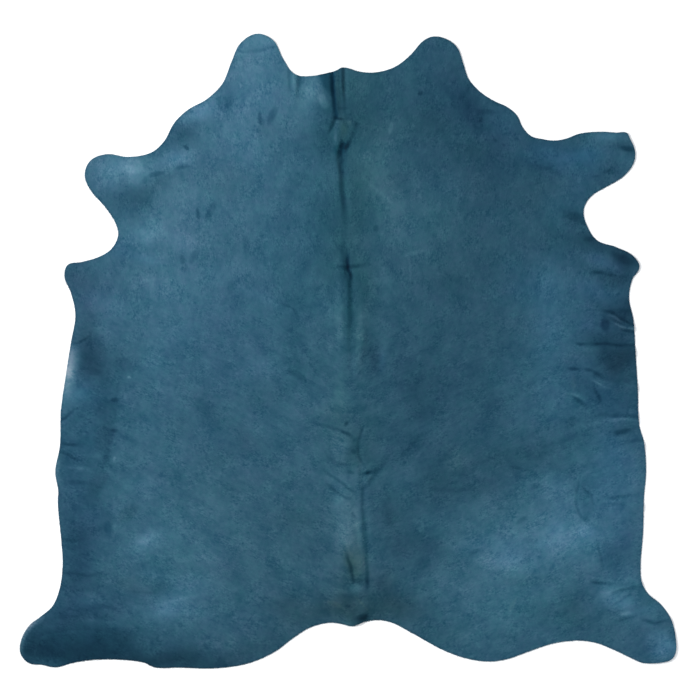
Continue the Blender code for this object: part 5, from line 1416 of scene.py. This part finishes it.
def lie_noise(tree, grain, turn):
    """Noise drawn out along hair that rises outwards at that turn from the spine, on both of its sides."""
    inputs = {
        "Vector": mirrored_place(tree),
        "Rotation": (0.0, 0.0, -turn),
        "Scale": (1.0 / grain.across, 1.0 / grain.along, 1.0),
    }
    laid = node(tree, "ShaderNodeMapping", inputs, vector_type="TEXTURE").outputs["Vector"]
    return noise_node(tree, laid, grain)


def hair_noise(tree, grain, rump):
    """Noise drawn out along the hair, which lies one way over the back and neck and another over the rump."""
    inputs = {
        "Factor": rump,
        "A": lie_noise(tree, grain, BACK_TURN),
        "B": lie_noise(tree, grain, RUMP_TURN),
    }
    return node(tree, "ShaderNodeMix", inputs, data_type="FLOAT").outputs["Result"]


def summed(tree, parts):
    """0.5 plus the distance of each value from its middle, times its weight."""
    total = None
    for value, weight in parts:
        moved = math_node(tree, "MULTIPLY", math_node(tree, "SUBTRACT", value, 0.5), weight)
        total = moved if total is None else math_node(tree, "ADD", total, moved)
    return math_node(tree, "ADD", total, 0.5)


def between(tree, factor, low, high):
    """Colour that runs from low to high."""
    inputs = {"Factor": factor, "A": (*low, 1.0), "B": (*high, 1.0)}
    return node(tree, "ShaderNodeMix", inputs, data_type="RGBA").outputs["Result"]


def times(tree, first, second):
    return node(tree, "ShaderNodeVectorMath", {0: first, 1: second}, operation="MULTIPLY").outputs["Vector"]


def add_bump(tree, shader, height, strength, distance):
    inputs = {"Height": height, "Strength": strength, "Distance": distance}
    tree.links.new(node(tree, "ShaderNodeBump", inputs).outputs["Normal"], shader.inputs["Normal"])


def rump_share(tree):
    """1 over the rump and flanks and 0 over the back and neck, with a wandering border between them."""
    place = object_place(tree)
    split = node(tree, "ShaderNodeSeparateXYZ", {"Vector": place})
    waver = math_node(tree, "SUBTRACT", noise_node(tree, place, BORDER), 0.5)
    height = math_node(tree, "ADD", split.outputs["Y"], math_node(tree, "MULTIPLY", waver, RUMP_WAVER))
    return cut_off(tree, math_node(tree, "MULTIPLY", height, -1.0), -RUMP_TOP, RUMP_BLEND - RUMP_TOP)


def coat_tone(tree, rump, fine, strength):
    """The coat from dark to light: its broad pattern, its fine one, dark flecks and light sparks."""
    blotches = blotch_noise(tree, BLOTCHES)
    bands = summed(tree, ((lie_noise(tree, BANDS, RUMP_TURN), rump),))
    clouds = cut_off(tree, blotch_noise(tree, CLOUDING), *CLOUDING_CUT)
    wisps = cut_off(tree, hair_noise(tree, WISPS, rump), *WISPS_CUT)
    tone = summed(tree, ((blotches, 1.2), (bands, 0.9), (clouds, 0.16), (wisps, 0.12), (fine, 1.0)))
    for grain, start, full, change in SPECKS:
        specks = cut_off(tree, blotch_noise(tree, grain), start, full)
        specks = math_node(tree, "MULTIPLY", math_node(tree, "MULTIPLY", specks, strength), change)
        tone = math_node(tree, "ADD", tone, specks)
    return tone


def hair_material():
    """Dyed hair: the painted dye, with its painted light and shade, under blotches, locks, hairlines and
    speckle along the lie of the hair.
    """
    material, tree, shader = new_material("dyed_hair", roughness=0.66, specular=0.05)
    for name, value in SHEEN.items():
        shader.inputs[name].default_value = value
    place = object_place(tree)
    rump = rump_share(tree)
    locks = hair_noise(tree, LOCKS, rump)
    hairlines = hair_noise(tree, HAIRLINES, rump)
    speckle = noise_node(tree, place, SPECKLE)
    wear = cut_off(tree, noise_node(tree, place, WEAR), *WEAR_CUT)
    strength = ranged(tree, wear, FAINT_GRAIN, STRONG_GRAIN)
    fine = summed(tree, ((summed(tree, ((locks, 0.9), (hairlines, 0.85), (speckle, 1.0))), strength),))
    tone = coat_tone(tree, rump, fine, strength)
    hues = noise_node(tree, place, HUES)
    # The dye attribute holds the painted light and shade as well as the dye.
    colour = node(tree, "ShaderNodeAttribute", attribute_name="dye").outputs["Color"]
    for pattern, shift in ((tone, MOTTLE_SHIFT), (hues, HUE_SHIFT)):
        colour = times(tree, colour, between(tree, pattern, np.exp(-shift), np.exp(shift)))
    tree.links.new(colour, shader.inputs["Base Color"])
    tree.links.new(ranged(tree, locks, *COAT_ROUGHNESS), shader.inputs["Roughness"])
    relief = summed(tree, ((hairlines, 0.6), (locks, 1.6), (speckle, 0.8)))
    add_bump(tree, shader, relief, strength=0.5, distance=0.8 * MM)
    return material


def suede_material():
    """The flesh side: brushed split suede, grey beige, stained faintly by the dye."""
    material, tree, shader = new_material("flesh_side", roughness=0.9, specular=0.15)
    place = object_place(tree)
    nap = noise_node(tree, place, SUEDE)
    stain = ranged(tree, noise_node(tree, place, STAIN), *STAIN_SHARE)
    suede = between(tree, stain, SUEDE_BARE, SUEDE_STAINED)
    inputs = {"Vector": suede, "Scale": ranged(tree, nap, *NAP_TONE)}
    toned = node(tree, "ShaderNodeVectorMath", inputs, operation="SCALE").outputs["Vector"]
    tree.links.new(toned, shader.inputs["Base Color"])
    add_bump(tree, shader, nap, strength=0.4, distance=0.4 * MM)
    return material


def cut_material():
    """The knife-cut edge: fibrous leather, tinted by the dye."""
    material, tree, shader = new_material("cut_edge", roughness=0.85, specular=0.2)
    fibres = noise_node(tree, object_place(tree), FIBRES)
    tree.links.new(between(tree, fibres, CUT_DARK, CUT_PALE), shader.inputs["Base Color"])
    return material


# The studio.


def make_floor():
    """A plain pale floor, a little below the hide so that the two don't share a plane."""
    material, _, shader = new_material("studio_floor", roughness=0.9, specular=0.1)
    shader.inputs["Base Color"].default_value = FLOOR_COLOUR
    mesh = bpy.data.meshes.new("floor")
    corners = [(x * FLOOR_HALF, y * FLOOR_HALF, 0.0) for x, y in ((-1, -1), (1, -1), (1, 1), (-1, 1))]
    mesh.from_pydata(corners, [], [(0, 1, 2, 3)])
    mesh.materials.append(material)
    floor = linked("floor", mesh)
    floor.location.z = -FLOOR_GAP


def light_studio():
    """A pale sky all round and one soft lamp from the upper left of the photograph."""
    world = bpy.data.worlds.new("studio")
    world.use_nodes = True
    background = world.node_tree.nodes["Background"]
    background.inputs["Color"].default_value = SKY_COLOUR
    background.inputs["Strength"].default_value = SKY_STRENGTH
    lamp = bpy.data.lights.new("key", "AREA")
    lamp.shape = "DISK"
    lamp.size = KEY_SIZE
    lamp.energy = KEY_WATTS
    light = linked("key", lamp)
    light.location = KEY_PLACE
    light.rotation_euler = (-Vector(KEY_PLACE)).to_track_quat("-Z", "Y").to_euler()
    scene = bpy.context.scene
    scene.world = world
    scene.view_settings.view_transform = "Standard"


def set_camera():
    """The photograph's camera, straight down over its middle."""
    middle = placed([PHOTO_MIDDLE_CM])[0]
    data = bpy.data.cameras.new("photo")
    data.sensor_width = SENSOR_MM
    data.lens = SENSOR_MM * CAMERA_HEIGHT / (PHOTO_PIXELS * PIXEL)
    camera = linked("photo", data)
    camera.location = (middle.x, middle.y, CAMERA_HEIGHT)
    bpy.context.scene.camera = camera


# The scene.


def dress():
    """Puts the dressed sheet over the solid."""
    coat = hair_material()
    hide = make_hide((coat, suede_material(), cut_material()))
    hair = make_edge_hair(coat)
    for piece in (hide, hair):
        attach(piece, "root")
    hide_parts("hide")


dress()
make_floor()
light_studio()
set_camera()
